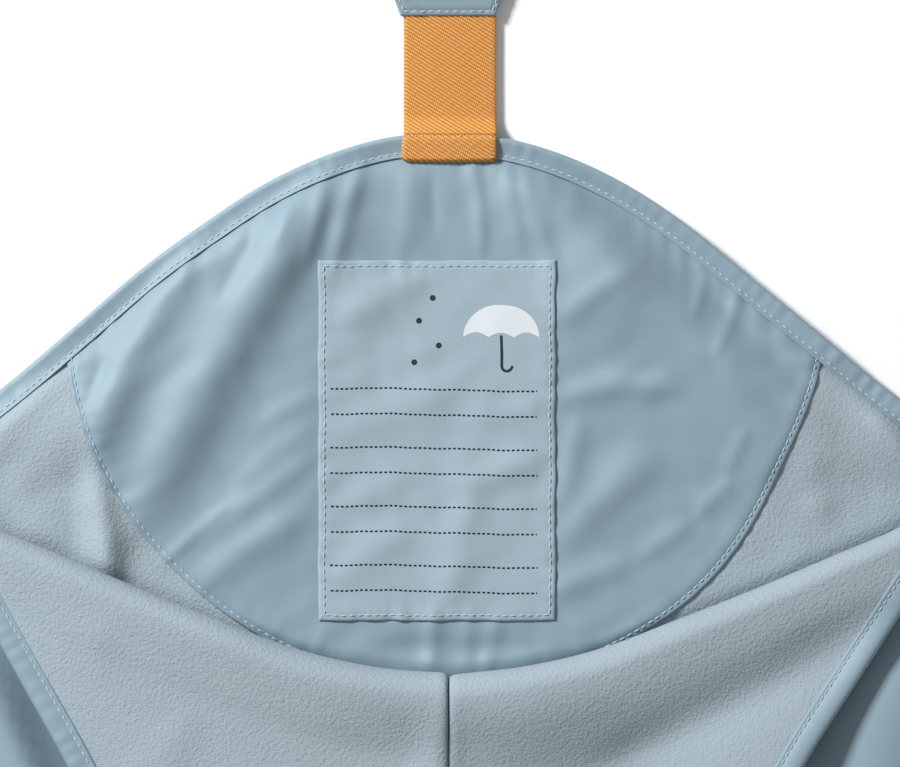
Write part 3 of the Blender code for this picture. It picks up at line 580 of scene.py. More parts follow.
def collection():
    """The collection that holds the dressed pieces."""
    found = bpy.data.collections.get("rain_trousers")
    if found is None:
        found = bpy.data.collections.new("rain_trousers")
        bpy.context.scene.collection.children.link(found)
    return found


def run_along(points):
    """Distance of each point of a line from its start."""
    gaps = np.linalg.norm(np.diff(points, axis=0), axis=1)
    return np.concatenate([[0.0], np.cumsum(gaps)])


def grid_faces(rows, columns, closed=False):
    """Quads of a grid of points, running round in its columns when closed."""
    index = np.arange(rows * columns).reshape(rows, columns)
    if closed:
        index = np.concatenate([index, index[:, :1]], axis=1)
    corners = (index[:-1, :-1], index[:-1, 1:], index[1:, 1:], index[1:, :-1])
    return np.stack([corner.ravel() for corner in corners], axis=1)


def to_frame(points):
    """Turn drawing millimetres into the frame's metres."""
    return (points + np.array((0.0, FRAME_Y, 0.0))) * MM


def make_mesh(name, points, faces, flat=None):
    """Mesh from points in millimetres and quads, with the flat cloth's coordinates as its UV map."""
    points = to_frame(points).reshape(-1, 3)
    mesh = bpy.data.meshes.new(name)
    mesh.vertices.add(len(points))
    mesh.vertices.foreach_set("co", points.astype(np.float32).ravel())
    mesh.loops.add(faces.size)
    mesh.loops.foreach_set("vertex_index", faces.astype(np.int32).ravel())
    mesh.polygons.add(len(faces))
    starts = np.arange(0, faces.size, faces.shape[1], dtype=np.int32)
    mesh.polygons.foreach_set("loop_start", starts)
    mesh.update(calc_edges=True)
    if flat is not None:
        flat = (flat * MM).reshape(-1, 2).astype(np.float32)
        layer = mesh.uv_layers.new(name="cloth")
        layer.uv.foreach_set("vector", flat[faces.ravel()].ravel())
    mesh.validate()
    mesh.shade_smooth()
    return mesh


def add_piece(mesh, material, slot, *replaced):
    """Link a piece, give it its material, and let it ride in place of its solids."""
    piece = bpy.data.objects.new(mesh.name, mesh)
    collection().objects.link(piece)
    mesh.materials.append(material_named(material))
    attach(piece, "root")
    if replaced:
        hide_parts(*replaced)
    return piece


def cloth_layer(name, points, flat, flip, thickness, material, slot, *replaced):
    """A layer of cloth from a grid of placed points and its flat coordinates, thick from its face."""
    faces = grid_faces(*points.shape[:2])
    mesh = make_mesh(name, points, faces[:, ::-1] if flip else faces, flat)
    piece = add_piece(mesh, material, slot, *replaced)
    if thickness:
        solid = piece.modifiers.new("thickness", "SOLIDIFY")
        solid.thickness = thickness * MM
        solid.offset = -1.0
        solid.use_rim = True
        solid.use_even_offset = False
    return piece


def declare(flat, with_pieces=()):
    """Work out the size and area of a piece of cloth's cut from its grid of flat coordinates; nothing is
    done with them.
    """
    corners = flat.reshape(-1, 2)
    size = (corners.max(axis=0) - corners.min(axis=0)) * MM
    size = (float(size[0]), float(size[1]))
    across = flat[:-1, 1:] - flat[1:, :-1]
    down = flat[1:, 1:] - flat[:-1, :-1]
    area = np.abs(across[..., 0] * down[..., 1] - across[..., 1] * down[..., 0]).sum() / 2.0
    area = float(area) * MM * MM


def stitch_line(points, up, pitch, length, radius):
    """Points and faces of stitches along a line of points, each a small arched thread."""
    run = run_along(points)
    count = max(1, int(round((run[-1] - length) / pitch)))
    spacing = (run[-1] - length) / count
    shares = np.linspace(0.0, 1.0, STITCH_RINGS)
    arch = np.sin(shares * math.pi) ** 0.6 * radius * 1.5 - radius * 0.9
    thick = radius * (0.55 + 0.45 * np.sin(shares * math.pi) ** 0.5)
    ring = np.arange(STITCH_SIDES) * TURN / STITCH_SIDES
    cap = np.array([[0, 1, 2, 3], [0, 3, 4, 5]])
    last_cap = cap[:, ::-1] + (STITCH_RINGS - 1) * STITCH_SIDES
    pattern = np.concatenate([grid_faces(STITCH_RINGS, STITCH_SIDES, closed=True), cap, last_cap])
    vertices = []
    faces = []
    for index in range(count + 1):
        wobble = 0.06 * math.sin(index * 2.4) + 0.04 * math.sin(index * 5.1)
        where = index * spacing + length * (shares + wobble * 0.4)
        centre, normal = (
            np.stack([np.interp(where, run, data[:, axis]) for axis in range(3)], axis=1)
            for data in (points, up)
        )
        along = centre[-1] - centre[0]
        along /= np.linalg.norm(along)
        side = np.cross(normal, along)
        side /= np.linalg.norm(side, axis=1, keepdims=True)
        centre = centre + normal * arch[:, None] + side * (wobble * radius * 2.0)
        circle = side[:, None] * np.cos(ring)[:, None] + normal[:, None] * np.sin(ring)[:, None]
        vertices.append((centre[:, None] + circle * thick[:, None, None]).reshape(-1, 3))
        faces.append(pattern + index * STITCH_RINGS * STITCH_SIDES)
    return np.concatenate(vertices), np.concatenate(faces)


def stitching(name, lines, slot="shell", material="thread", size=None):
    """One mesh of stitches along several lines, each given as points and the cloth's normals."""
    sizes = bpy.context.scene.trouser_sizes
    if size is None:
        size = (sizes.stitch_pitch / MM, sizes.stitch_length / MM, sizes.thread_radius / MM)
    vertices = []
    faces = []
    base = 0
    for points, up in lines:
        made, quads = stitch_line(points, up, *size)
        vertices.append(made)
        faces.append(quads + base)
        base += len(made)
    mesh = make_mesh(name, np.concatenate(vertices), np.concatenate(faces))
    return add_piece(mesh, material, slot)


def upright(x, y, z):
    """A line of points with normals that look straight up."""
    points = together(x, y, z)
    return points, np.broadcast_to((0.0, 0.0, 1.0), points.shape)


def line_on(place, x, y, height):
    """Placed points and normals along a line of a drawing."""
    return place(x, y, height), normals(lambda x, y: place(x, y, height), x, y)


def tube_mesh(name, points, flat):
    """Mesh of a closed section carried along a line, with its ends closed."""
    mesh = make_mesh(name, points, grid_faces(*points.shape[:2], closed=True), flat)
    work = bmesh.new()
    work.from_mesh(mesh)
    open_edges = [edge for edge in work.edges if edge.is_boundary]
    caps = bmesh.ops.holes_fill(work, edges=open_edges, sides=0)["faces"]
    bmesh.ops.triangulate(work, faces=caps)
    bmesh.ops.recalc_face_normals(work, faces=work.faces)
    work.to_mesh(mesh)
    work.free()
    mesh.shade_smooth()
    return mesh


def bind_edge(name, node, line, inward, section, height, place):
    """A tape folded round an edge: its section carried along a line of a drawing."""
    x = line[:, :1] + inward[:, :1] * section[:, 0]
    y = line[:, 1:] + inward[:, 1:] * section[:, 0]
    flat = together(run_along(line)[:, None], run_along(section))
    mesh = tube_mesh(name, place(x, y, height), flat)
    return add_piece(mesh, "edge_tape", "tape", node)


def inward_of(line, side):
    """Unit vectors to the inner side of a line that runs from the underarm."""
    along = np.gradient(line, axis=0)
    along /= np.linalg.norm(along, axis=1, keepdims=True)
    return np.stack([along[:, 1], -along[:, 0]], axis=1) * side


# Materials

WEAVE_PITCH = 0.00045
WEAVE_DEPTH = 0.00003
TWILL = {"Pitch": 0.0007, "Slope": 1.6}
RULE_PAIRS = 4.0
DASH_SHARE = 0.62


class Nodes:
    """Adds nodes to a tree and feeds their inputs, each with a socket or a value."""

    def __init__(self, tree):
        self.tree = tree

    def new(self, kind):
        """A new node."""
        return self.tree.nodes.new("ShaderNode" + kind)

    def feed(self, target, value):
        """Give an input a socket or a value."""
        if isinstance(value, bpy.types.NodeSocket):
            self.tree.links.new(value, target)
        else:
            target.default_value = value

    def feed_all(self, inputs, **values):
        """Feed several inputs by their names, with underscores for spaces."""
        for label, value in values.items():
            self.feed(inputs[label.replace("_", " ")], value)

    def math(self, operation, *values):
        """Result of a calculation."""
        node = self.new("Math")
        node.operation = operation
        for target, value in zip(node.inputs, values):
            self.feed(target, value)
        return node.outputs[0]

    def noise(self, place, scale, detail):
        """Cloudy pattern at a place, from 0 to 1."""
        node = self.new("TexNoise")
        self.feed_all(node.inputs, Vector=place, Scale=scale, Detail=detail, Roughness=0.5)
        return node.outputs["Fac"]

    def split(self, place):
        """X and Y of a place."""
        node = self.new("SeparateXYZ")
        self.feed(node.inputs[0], place)
        return node.outputs["X"], node.outputs["Y"]

    def mix(self, factor, low, high):
        """Blend between two colours."""
        node = self.new("Mix")
        node.data_type = "RGBA"
        self.feed(node.inputs["Factor"], factor)
        for target, value in zip([item for item in node.inputs if item.type == "RGBA"], (low, high)):
            self.feed(target, value)
        return next(item for item in node.outputs if item.type == "RGBA")

    def bump(self, height, distance):
        """Normal from a height."""
        node = self.new("Bump")
        self.feed_all(node.inputs, Height=height, Distance=distance, Strength=1.0)
        return node.outputs["Normal"]


class Effect(Nodes):
    """A new node group with a place and its own values as inputs, which materials share."""

    def __init__(self, name, outputs, **inputs):
        super().__init__(bpy.data.node_groups.new(name, "ShaderNodeTree"))
        self.socket("Place", "INPUT", "NodeSocketVector")
        for label, value in inputs.items():
            self.socket(label.replace("_", " "), "INPUT").default_value = value
        for label in outputs:
            self.socket(label, "OUTPUT")
        self.given = self.tree.nodes.new("NodeGroupInput").outputs
        self.result = self.tree.nodes.new("NodeGroupOutput").inputs
        self.place = self.given["Place"]

    def socket(self, label, direction, kind="NodeSocketFloat"):
        """A new input or output of the group."""
        return self.tree.interface.new_socket(name=label, in_out=direction, socket_type=kind)


class Look(Nodes):
    """A new material and its shader."""

    def __init__(self, name):
        self.material = bpy.data.materials.new(name)
        self.material.use_nodes = True
        super().__init__(self.material.node_tree)
        self.shader = self.tree.nodes["Principled BSDF"]

    def on_object(self):
        """Place on the object, in metres."""
        return self.new("TexCoord").outputs["Object"]

    def on_cloth(self):
        """Place on the flat cloth, in metres."""
        node = self.new("UVMap")
        node.uv_map = "cloth"
        return node.outputs["UV"]

    def effect(self, name, place, **values):
        """Outputs of a shared node group, placed with this material's own values."""
        if name not in bpy.data.node_groups:
            EFFECTS[name](name)
        node = self.new("Group")
        node.node_tree = bpy.data.node_groups[name]
        self.feed_all(node.inputs, Place=place, **values)
        return node.outputs

    def finish(self, **values):
        """Feed the shader; returns the material."""
        self.feed_all(self.shader.inputs, **values)
        return self.material


def weave_group(name):
    """Fine plain weave: threads crossing at a pitch, with uneven yarns."""
    made = Effect(name, ("Height", "Tint"), Pitch=0.0005)
    turns = made.math("DIVIDE", TURN, made.given["Pitch"])
    warp, weft = (
        made.math("SINE", made.math("MULTIPLY", place, turns)) for place in made.split(made.place)
    )
    crossing = made.math("MULTIPLY", warp, weft)
    height = made.math("MULTIPLY_ADD", crossing, 0.5, made.noise(made.place, 900.0, 2.0))
    made.feed_all(made.result, Height=height, Tint=made.noise(made.place, 60.0, 3.0))


def twill_group(name):
    """Diagonal ribs of a twill, with uneven yarns."""
    made = Effect(name, ("Height", "Rib"), Pitch=0.0006, Slope=1.0)
    x, y = made.split(made.place)
    across = made.math("ADD", made.math("MULTIPLY", x, made.given["Slope"]), y)
    turns = made.math("DIVIDE", TURN, made.given["Pitch"])
    uneven = made.noise(made.place, 1400.0, 2.0)
    phase = made.math("MULTIPLY_ADD", across, turns, made.math("MULTIPLY", uneven, 2.0))
    rib = made.math("MULTIPLY_ADD", made.math("SINE", phase), 0.5, 0.5)
    made.feed_all(made.result, Height=made.math("MULTIPLY_ADD", uneven, 0.5, rib), Rib=rib)


def nap_group(name):
    """Brushed fleece: soft clumps, finer curls and stray fibres; its Shade output mixes random tone with
    painted shade in the nap's low spots.
    """
    made = Effect(name, ("Height", "Shade"), Clump_Scale=820.0)
    scale = made.given["Clump Scale"]
    clumps = made.noise(made.place, scale, 2.0)
    curls = made.noise(made.place, made.math("MULTIPLY", scale, 2.3), 2.0)
    fibres = made.noise(made.place, 3600.0, 1.0)
    height = made.math("MULTIPLY_ADD", clumps, 0.9, made.math("MULTIPLY", curls, 0.55))
    height = made.math("MULTIPLY_ADD", fibres, 0.22, height)
    # Shade: random patches of tone, plus painted shade that darkens the nap's low spots and lightens its
    # clumps
    patches = made.noise(made.place, 34.0, 2.0)
    shade = made.math("MULTIPLY_ADD", patches, 0.45, made.math("MULTIPLY", height, 0.4))
    made.feed_all(made.result, Height=height, Shade=shade)


def rules_group(name):
    """Pairs of dashed write-in rules across the name patch, as a mask."""
    made = Effect(
        name,
        ("Mask",),
        First_Y=-0.0831,
        Pair_Pitch=0.0192,
        Pair_Gap=0.0083,
        Width=0.0006,
        Waver=0.0005,
        Dash_Pitch=0.0016,
        Left_X=-0.0385,
        Right_X=0.0292,
    )
    given, calc = made.given, made.math
    across, along = made.split(made.place)
    bent = calc("MULTIPLY", calc("SINE", calc("MULTIPLY", across, 62.0)), given["Waver"])
    down = calc("SUBTRACT", given["First Y"], calc("ADD", along, bent))
    shifted = calc("ADD", down, calc("MULTIPLY", given["Width"], 0.5))
    within = calc("FLOORED_MODULO", shifted, given["Pair Pitch"])
    first = calc("LESS_THAN", within, given["Width"])
    from_second = calc("SUBTRACT", within, given["Pair Gap"])
    past = calc("GREATER_THAN", from_second, 0.0)
    second = calc("MULTIPLY", calc("LESS_THAN", from_second, given["Width"]), past)
    cycle = calc("FLOORED_MODULO", across, given["Dash Pitch"])
    mask = calc("MAXIMUM", first, second)
    for factor in (
        calc("LESS_THAN", cycle, calc("MULTIPLY", given["Dash Pitch"], DASH_SHARE)),
        calc("GREATER_THAN", across, given["Left X"]),
        calc("LESS_THAN", across, given["Right X"]),
        calc("LESS_THAN", shifted, calc("MULTIPLY", given["Pair Pitch"], RULE_PAIRS)),
        calc("GREATER_THAN", shifted, 0.0),
    ):
        mask = calc("MULTIPLY", mask, factor)
    made.feed_all(made.result, Mask=mask)


def ribs_group(name):
    """The elastic's ribs of small beads, as in its mesh: 1 on a bead and 0 between the ribs; the
    elastic's colour takes it as painted shade and highlight.
    """
    made = Effect(
        name,
        ("Bead", "Yarn"),
        Rib_Pitch=RIB_PITCH * MM,
        Rib_Slope=RIB_SLOPE,
        Yarn_Pitch=YARN_PITCH * MM,
    )
    given, calc = made.given, made.math
    across, along = made.split(made.place)
    sloped = calc("MULTIPLY_ADD", across, given["Rib Slope"], along)
    rib = calc("COSINE", calc("MULTIPLY", sloped, calc("DIVIDE", TURN, given["Rib Pitch"])))
    rib = calc("MULTIPLY_ADD", rib, 0.5, 0.5)
    shifted = calc("MULTIPLY_ADD", along, -YARN_SLOPE, across)
    bead = calc("COSINE", calc("MULTIPLY", shifted, calc("DIVIDE", TURN, given["Yarn Pitch"])))
    bead = calc("MULTIPLY_ADD", bead, 0.325, 0.675)
    yarn = made.noise(made.place, 2400.0, 2.0)
    made.feed_all(made.result, Bead=calc("MULTIPLY", rib, bead), Yarn=yarn)


EFFECTS = {
    "plain_weave": weave_group,
    "twill": twill_group,
    "fleece_nap": nap_group,
    "write_in_rules": rules_group,
    "elastic_ribs": ribs_group,
}


def scaled(colour, factor=1.0):
    """A colour made lighter or darker."""
    return (*(min(1.0, part * factor) for part in colour), 1.0)


def shell_cloth(look, colour, roughness):
    """Coated woven cloth: a fine weave under a soft, slightly uneven shine."""
    weave = look.effect("plain_weave", look.on_cloth(), Pitch=WEAVE_PITCH)
    spots = look.noise(look.on_object(), 45.0, 2.0)
    return look.finish(
        Base_Color=look.mix(weave["Tint"], scaled(colour, 0.95), scaled(colour, 1.05)),
        Roughness=look.math("MULTIPLY_ADD", spots, 0.12, roughness - 0.06),
        Normal=look.bump(weave["Height"], WEAVE_DEPTH),
        Sheen_Weight=0.03,
        Sheen_Roughness=0.5,
        Specular_IOR_Level=0.4,
    )


def fleece(look, colour):
    """Brushed fleece with a soft uneven nap."""
    nap = look.effect("fleece_nap", look.on_object())
    return look.finish(
        # The nap's Shade mixes random tone with painted shade: darker in the nap's low spots, lighter on
        # its clumps
        Base_Color=look.mix(nap["Shade"], scaled(colour, 0.86), scaled(colour, 1.14)),
        Normal=look.bump(nap["Height"], 0.0004),
        Roughness=1.0,
        Sheen_Weight=0.03,
        Sheen_Roughness=0.5,
        Specular_IOR_Level=0.1,
    )


def patch_cloth(look, colour):
    """Woven label cloth, printed with dashed rules."""
    place = look.on_cloth()
    twill = look.effect("twill", place, **TWILL)
    ground = look.mix(twill["Rib"], scaled(colour, 0.94), scaled(colour, 1.12))
    rules = look.effect("write_in_rules", place)
    ink = bpy.context.scene.trouser_colours.print_dark
    return look.finish(
        Base_Color=look.mix(rules["Mask"], ground, scaled(ink)),
        Normal=look.bump(twill["Height"], 0.00008),
        Roughness=0.75,
        Specular_IOR_Level=0.25,
    )


def printed(look, colour):
    """Printed colour that lets the cloth's weave through."""
    twill = look.effect("twill", look.on_cloth(), **TWILL)
    return look.finish(
        Base_Color=look.mix(twill["Rib"], scaled(colour, 0.96), scaled(colour, 1.03)),
        Normal=look.bump(twill["Height"], 0.00003),
        Roughness=0.7,
    )


def elastic(look, colour):
    """Woven elastic: painted shade between its ribs of beads and painted highlights on the beads."""
    ribs = look.effect("elastic_ribs", look.on_cloth())
    # Colour by the ribs' relief: painted shade in the grooves between ribs, painted highlights on the
    # beads
    depth = look.math("MULTIPLY_ADD", ribs["Yarn"], 0.3, ribs["Bead"])
    return look.finish(
        Base_Color=look.mix(depth, scaled(colour, 0.4), scaled(colour, 1.3)),
        Normal=look.bump(ribs["Yarn"], 0.00012),
        Roughness=0.7,
        Specular_IOR_Level=0.3,
    )


def thread(look, colour):
    """Sewing thread with a fine twist."""
    twist = look.noise(look.on_object(), 3000.0, 2.0)
    return look.finish(
        Base_Color=look.mix(twist, scaled(colour, 0.85), scaled(colour, 1.12)),
        Normal=look.bump(twist, 0.00008),
        Roughness=0.6,
        Sheen_Weight=0.2,
    )


def moulded(look, colour):
    """Matte moulded button with faint flow marks."""
    flow = look.noise(look.on_object(), 160.0, 4.0)
    return look.finish(
        Base_Color=look.mix(flow, scaled(colour, 0.92), scaled(colour, 1.08)),
        Roughness=look.math("MULTIPLY_ADD", flow, 0.15, 0.32),
        Normal=look.bump(flow, 0.00002),
    )


def paper(look, colour):
    """Matte paper."""
    grain = look.noise(look.on_object(), 400.0, 3.0)
    darker, lighter = (value - 0.01 for value in colour), (value + 0.01 for value in colour)
    return look.finish(
        Base_Color=look.mix(grain, scaled(darker), scaled(lighter)),
        Roughness=0.9,
        Specular_IOR_Level=0.1,
    )


# Each material: what makes it, which of the user's colours it takes, and its roughness if it varies
MATERIALS = {
    "shell_cloth": (shell_cloth, "shell", 0.5),
    "edge_tape": (shell_cloth, "tape", 0.5),
    "brace_cloth": (shell_cloth, "strap", 0.52),
    "brushed_fleece": (fleece, "fleece"),
    "patch_cloth": (patch_cloth, "patch"),
    "print_light": (printed, "print_light"),
    "print_dark": (printed, "print_dark"),
    "woven_elastic": (elastic, "elastic"),
    "thread": (thread, "thread"),
    "elastic_thread": (thread, "elastic_thread"),
    "button_plastic": (moulded, "button"),
    "paper": (paper, "paper"),
}


def material_named(name):
    """A material, made the first time it is asked for."""
    if name not in bpy.data.materials:
        make, colour, *values = MATERIALS[name]
        make(Look(name), getattr(bpy.context.scene.trouser_colours, colour), *values)
    return bpy.data.materials[name]


# Cuts: grids of the flat cloth

def leg_grid(side, across, up, top_y, inset_side):
    """Flat grid of one half from the hem to a top line, which may bend."""
    low_y = HEM_Y + GAP / 2.0
    y = low_y + up[:, None] * (top_y(side * SIDE_X * across) - low_y)
    inner = np.where(y > CROTCH_Y, 0.0, follow(INNER_SEAM, y)) + GAP / 2.0
    outer = follow(SIDE_SEAM, y) - inset_side
    return side * (inner + (outer - inner) * across), y


def lining_end(x):
    """Lower edge of the linings, which sweeps up towards the sides."""
    return LINING_END_Y + LINING_SWEEP * (x / SIDE_X) ** 2


def lining_x(side, across, y, inner):
    """X of a lining's points: it stays inside the side seam's allowance below the underarm."""
    inset = SEAM_ALLOWANCE * (1.0 - smooth((y - LINING_WIDE_Y + 4.0) / 12.0))
    return side * (inner + (follow(SIDE_SEAM, y) - inset - inner) * across)


def roll_grid(x, steps):
    """Run of the cloth over the first quarter of the roll."""
    angle = np.linspace(0.0, math.pi / 2.0, steps + 1)[1:, None]
    return roll_start(x) + angle * roll_turn(x)


def flap_grid(side, across, steps):
    """Flat grid of one half of the folded bib, as seen from above, down from the roll's crest."""
    down = np.linspace(0.0, 1.0, steps)[1:, None] ** 1.5
    side_y = UNDERARM_Y + down * (BIB_TOP_Y - UNDERARM_Y)
    side_x = bib_side_x(side, side_y)
    x = side * across * (np.abs(side_x) - BIB_INSET)
    side_fold = fold_y(side_x)
    side_down = (side_fold - side_y) / np.maximum(side_fold - BIB_TOP_Y, 1e-6)
    part = down + (side_down - down) * across ** 2
    return x, fold_y(x) + part * (BIB_TOP_Y + BIB_INSET - fold_y(x))


def hem_relief(y):
    """The turned hem and its sewn groove."""
    return 0.35 * smooth((HEM_Y + HEM_DEPTH + 1.0 - y) / 1.5) - 0.3 * ridge(y - HEM_Y, HEM_DEPTH, 0.9)


# Pieces; numbers in the formulas are millimetres of height and width, and counts of rows or columns

def make_back():
    """The back's shell, half by half, under everything else."""
    up = np.concatenate([np.linspace(0.0, 0.72, 90), np.linspace(0.72, 1.0, 80)[1:]])
    for side, word in SIDES:
        x, y = leg_grid(side, spread(46, 0.5, 0.5), up, top_edge_y, 1.0)
        y = y - TAPE_INSET * smooth((y - top_edge_y(x) + 3.0) / 3.0)
        points = place_back(x, y, SHELL)
        points[..., 2] = np.maximum(points[..., 2], SHELL) + np.maximum(hem_relief(y), -0.2)
        flat = together(x, y)
        look = ("shell_cloth", "shell", "back_" + word)
        piece = cloth_layer("back_shell_" + word, points, flat, side < 0.0, SHELL, *look)
        declare(flat)


def make_back_lining():
    """The back's fleece, which shows beside the yoke."""
    up = np.concatenate([np.linspace(0.0, 0.5, 16), np.linspace(0.5, 1.0, 92)[1:]])[:, None]
    for side, word in SIDES:
        across = spread(94)
        top_x = side * SIDE_X * across
        low = lining_end(top_x)
        y = low + up * (top_edge_y(top_x) - TAPE_INSET - low)
        x = lining_x(side, across, y, GAP / 2.0)
        flat = together(x, y)
        points = place_back(x, y, BACK_LINING_HIGH)
        look = ("brushed_fleece", "fleece", "back_lining_" + word)
        piece = cloth_layer("back_fleece_" + word, points, flat, side < 0.0, FLEECE, *look)
        declare(flat)


def yoke_shift(x, y):
    """How far the yoke's sides stand off a round arc, fading out towards the middle."""
    return follow_side(YOKE_SIDE_SHIFT, y, x) * smooth((np.abs(x) - 10.0) / 80.0)


def arc_point(share, inset=0.0):
    """Points along the yoke's arc, left to right."""
    angle = YOKE_CORNER_ANGLE - math.pi + share * (math.pi - 2.0 * YOKE_CORNER_ANGLE)
    x = (YOKE_RADIUS - inset) * np.cos(angle)
    y = YOKE_CENTRE_Y + (YOKE_DEPTH - inset) * np.sin(angle)
    return x + yoke_shift(x, y), y


def yoke_face(x, y):
    """Height of the yoke's face, with its turned edge, seam groove and puckers."""
    round_x = x - yoke_shift(x, y)
    inside = 1.0 - np.hypot(round_x / YOKE_RADIUS, (y - YOKE_CENTRE_Y) / YOKE_DEPTH)
    inside = inside * YOKE_DEPTH
    run = np.arctan2(y - YOKE_CENTRE_Y, x) * YOKE_RADIUS
    height = 0.12 * ridge(inside, 0.7, 0.6) - 0.2 * ridge(inside, SEAM_INSET, 0.7)
    height += 0.2 * ridge(inside, 4.0, 2.2) - 0.55 * fading(inside, 3.5)
    height += puckers(run, 0.3, 7.5, 3.0) * fading(inside, 6.0)
    tape = top_edge_y(x) - y - TAPE_WIDTH
    height -= 0.35 * fading(tape, 1.6)
    height += puckers(x, 0.45, 8.5, 5.0) * fading(tape, 7.0) * smooth((tape + 1.0) / 3.0)
    return YOKE_HIGH + height


def make_yoke():
    """Yoke facing of shell cloth, a crescent inside the back."""
    share = np.linspace(0.0, 1.0, 245)
    low_x, low_y = arc_point(share)
    top_x = 0.55 * ((2.0 * share - 1.0) * low_x[-1]) + 0.45 * low_x
    top_y = top_edge_y(top_x) - TAPE_INSET
    up = spread(94, 0.75)[:, None]
    x = low_x + (top_x - low_x) * up
    y = low_y + (top_y - low_y) * up
    flat = together(x, y)
    points = place_back(x, y, yoke_face(x, y))
    look = ("shell_cloth", "shell", "yoke")
    piece = cloth_layer("yoke_facing", points, flat, False, FACING * 0.6, *look)
    x, y = arc_point(np.linspace(0.012, 0.988, 400), SEAM_INSET)
    seam = stitching("yoke_stitching", [line_on(place_back, x, y, yoke_face(x, y) + THREAD_LIFT)])
    declare(flat, [seam])


def patch_face(x, y):
    """Height of the patch's face, with its turned edges, seam groove and slack."""
    from_side = np.minimum(x - PATCH_LEFT, PATCH_RIGHT - x)
    from_end = np.minimum(PATCH_TOP - y, y - PATCH_BOTTOM)
    inside = np.minimum(from_side, from_end)
    height = 0.04 * ridge(inside, 1.0, 0.8) - 0.1 * ridge(inside, PATCH_SEAM_INSET, 0.7)
    height -= 0.65 * fading(inside, 0.9)
    height += puckers(np.where(from_side < from_end, y, x), 0.35, 8.0, 8.0) * fading(inside, 4.0)
    height += creases(PATCH_CREASES, x, y) * smooth(inside / 8.0)
    return PATCH_LOW + FACING + height


def place_patch(x, y, height):
    """Lay points of the patch in place; its edges waver a little."""
    side = np.clip((x - PATCH_LEFT) / (PATCH_RIGHT - PATCH_LEFT), 0.0, 1.0)
    waver_x = 0.28 * np.sin(y * 0.19) + 0.16 * np.sin(y * 0.47 + 1.0)
    waver_y = 0.22 * np.sin(x * 0.23) + 0.12 * np.sin(x * 0.61)
    lean = (side - 0.5) * 0.7
    return place_back(x + waver_x * (0.5 - side) - 0.3 * lean, y + waver_y * 0.5, height)


def make_patch():
    """Sewn-on name patch with dashed rules and a small printed umbrella."""
    x, y = np.broadcast_arrays(
        PATCH_LEFT + spread(92, 0.5, 0.5)[None, :] * (PATCH_RIGHT - PATCH_LEFT),
        PATCH_BOTTOM + spread(132, 0.5, 0.5)[:, None] * (PATCH_TOP - PATCH_BOTTOM),
    )
    flat = together(x, y)
    points = place_patch(x, y, patch_face(x, y))
    look = ("patch_cloth", "patch", "name_patch")
    piece = cloth_layer("patch_cloth", points, flat, False, FACING, *look)
    left, right = PATCH_LEFT + PATCH_SEAM_INSET, PATCH_RIGHT - PATCH_SEAM_INSET
    low, high = PATCH_BOTTOM + PATCH_SEAM_INSET, PATCH_TOP - PATCH_SEAM_INSET
    corners = ((left, low), (right, low), (right, high), (left, high), (left, low))
    lines = []
    share = np.linspace(0.0, 1.0, 120)
    for (start_x, start_y), (end_x, end_y) in zip(corners, corners[1:]):
        x = start_x + (end_x - start_x) * share
        y = start_y + (end_y - start_y) * share
        lines.append(line_on(place_patch, x, y, patch_face(x, y) + THREAD_LIFT))
    seam = stitching("patch_stitching", lines, "patch")
    declare(flat, [seam] + make_umbrella())


def print_film(name, x, y, material, flip=True):
    """A printed shape that lies on the patch, with no thickness of its own."""
    points = place_patch(x, y, patch_face(x, y) + FILM_LIFT)
    return cloth_layer(name, points, together(x, y), flip, 0.0, material, "patch")


def make_umbrella():
    """A plain umbrella with dots beside it, printed in the patch's upper right corner."""
    centre_x, centre_y, radius = UMBRELLA
    share = np.linspace(-0.995, 0.995, 81)[None, :]
    part = np.linspace(0.0, 1.0, 15)[:, None]
    rim = centre_y + radius * 0.13 * np.abs(np.sin(1.5 * math.pi * (share + 1.0)))
    crown = centre_y + radius * 0.86 * np.sqrt(1.0 - share * share)
    x = centre_x + radius * share + 0.0 * part
    y = rim + (np.maximum(crown, rim + 0.02) - rim) * part
    prints = [print_film("umbrella_print", x, y, "print_light", False)]
    stem = np.linspace(0.0, 1.0, 30)[:, None]
    width = np.linspace(-0.45, 0.45, 4)[None, :]
    bend = smooth((stem - 0.7) / 0.3) * math.pi
    hook = 1.7
    x = centre_x + hook * (1.0 - np.cos(bend)) + width * np.cos(bend)
    straight = -10.0 * np.minimum(stem / 0.7, 1.0)
    y = centre_y + 0.8 + straight - hook * np.sin(bend) + width * np.sin(bend)
    prints.append(print_film("umbrella_handle_print", x, y, "print_dark"))
    ring = np.linspace(0.0, TURN, 25)[None, :]
    reach = np.linspace(0.08, 0.95, 5)[:, None]
    for index, (dot_x, dot_y) in enumerate(DOTS):
        x = dot_x + reach * np.cos(ring)
        y = dot_y + reach * np.sin(ring)
        prints.append(print_film("dot_print_%d" % (index + 1), x, y, "print_dark"))
    return prints


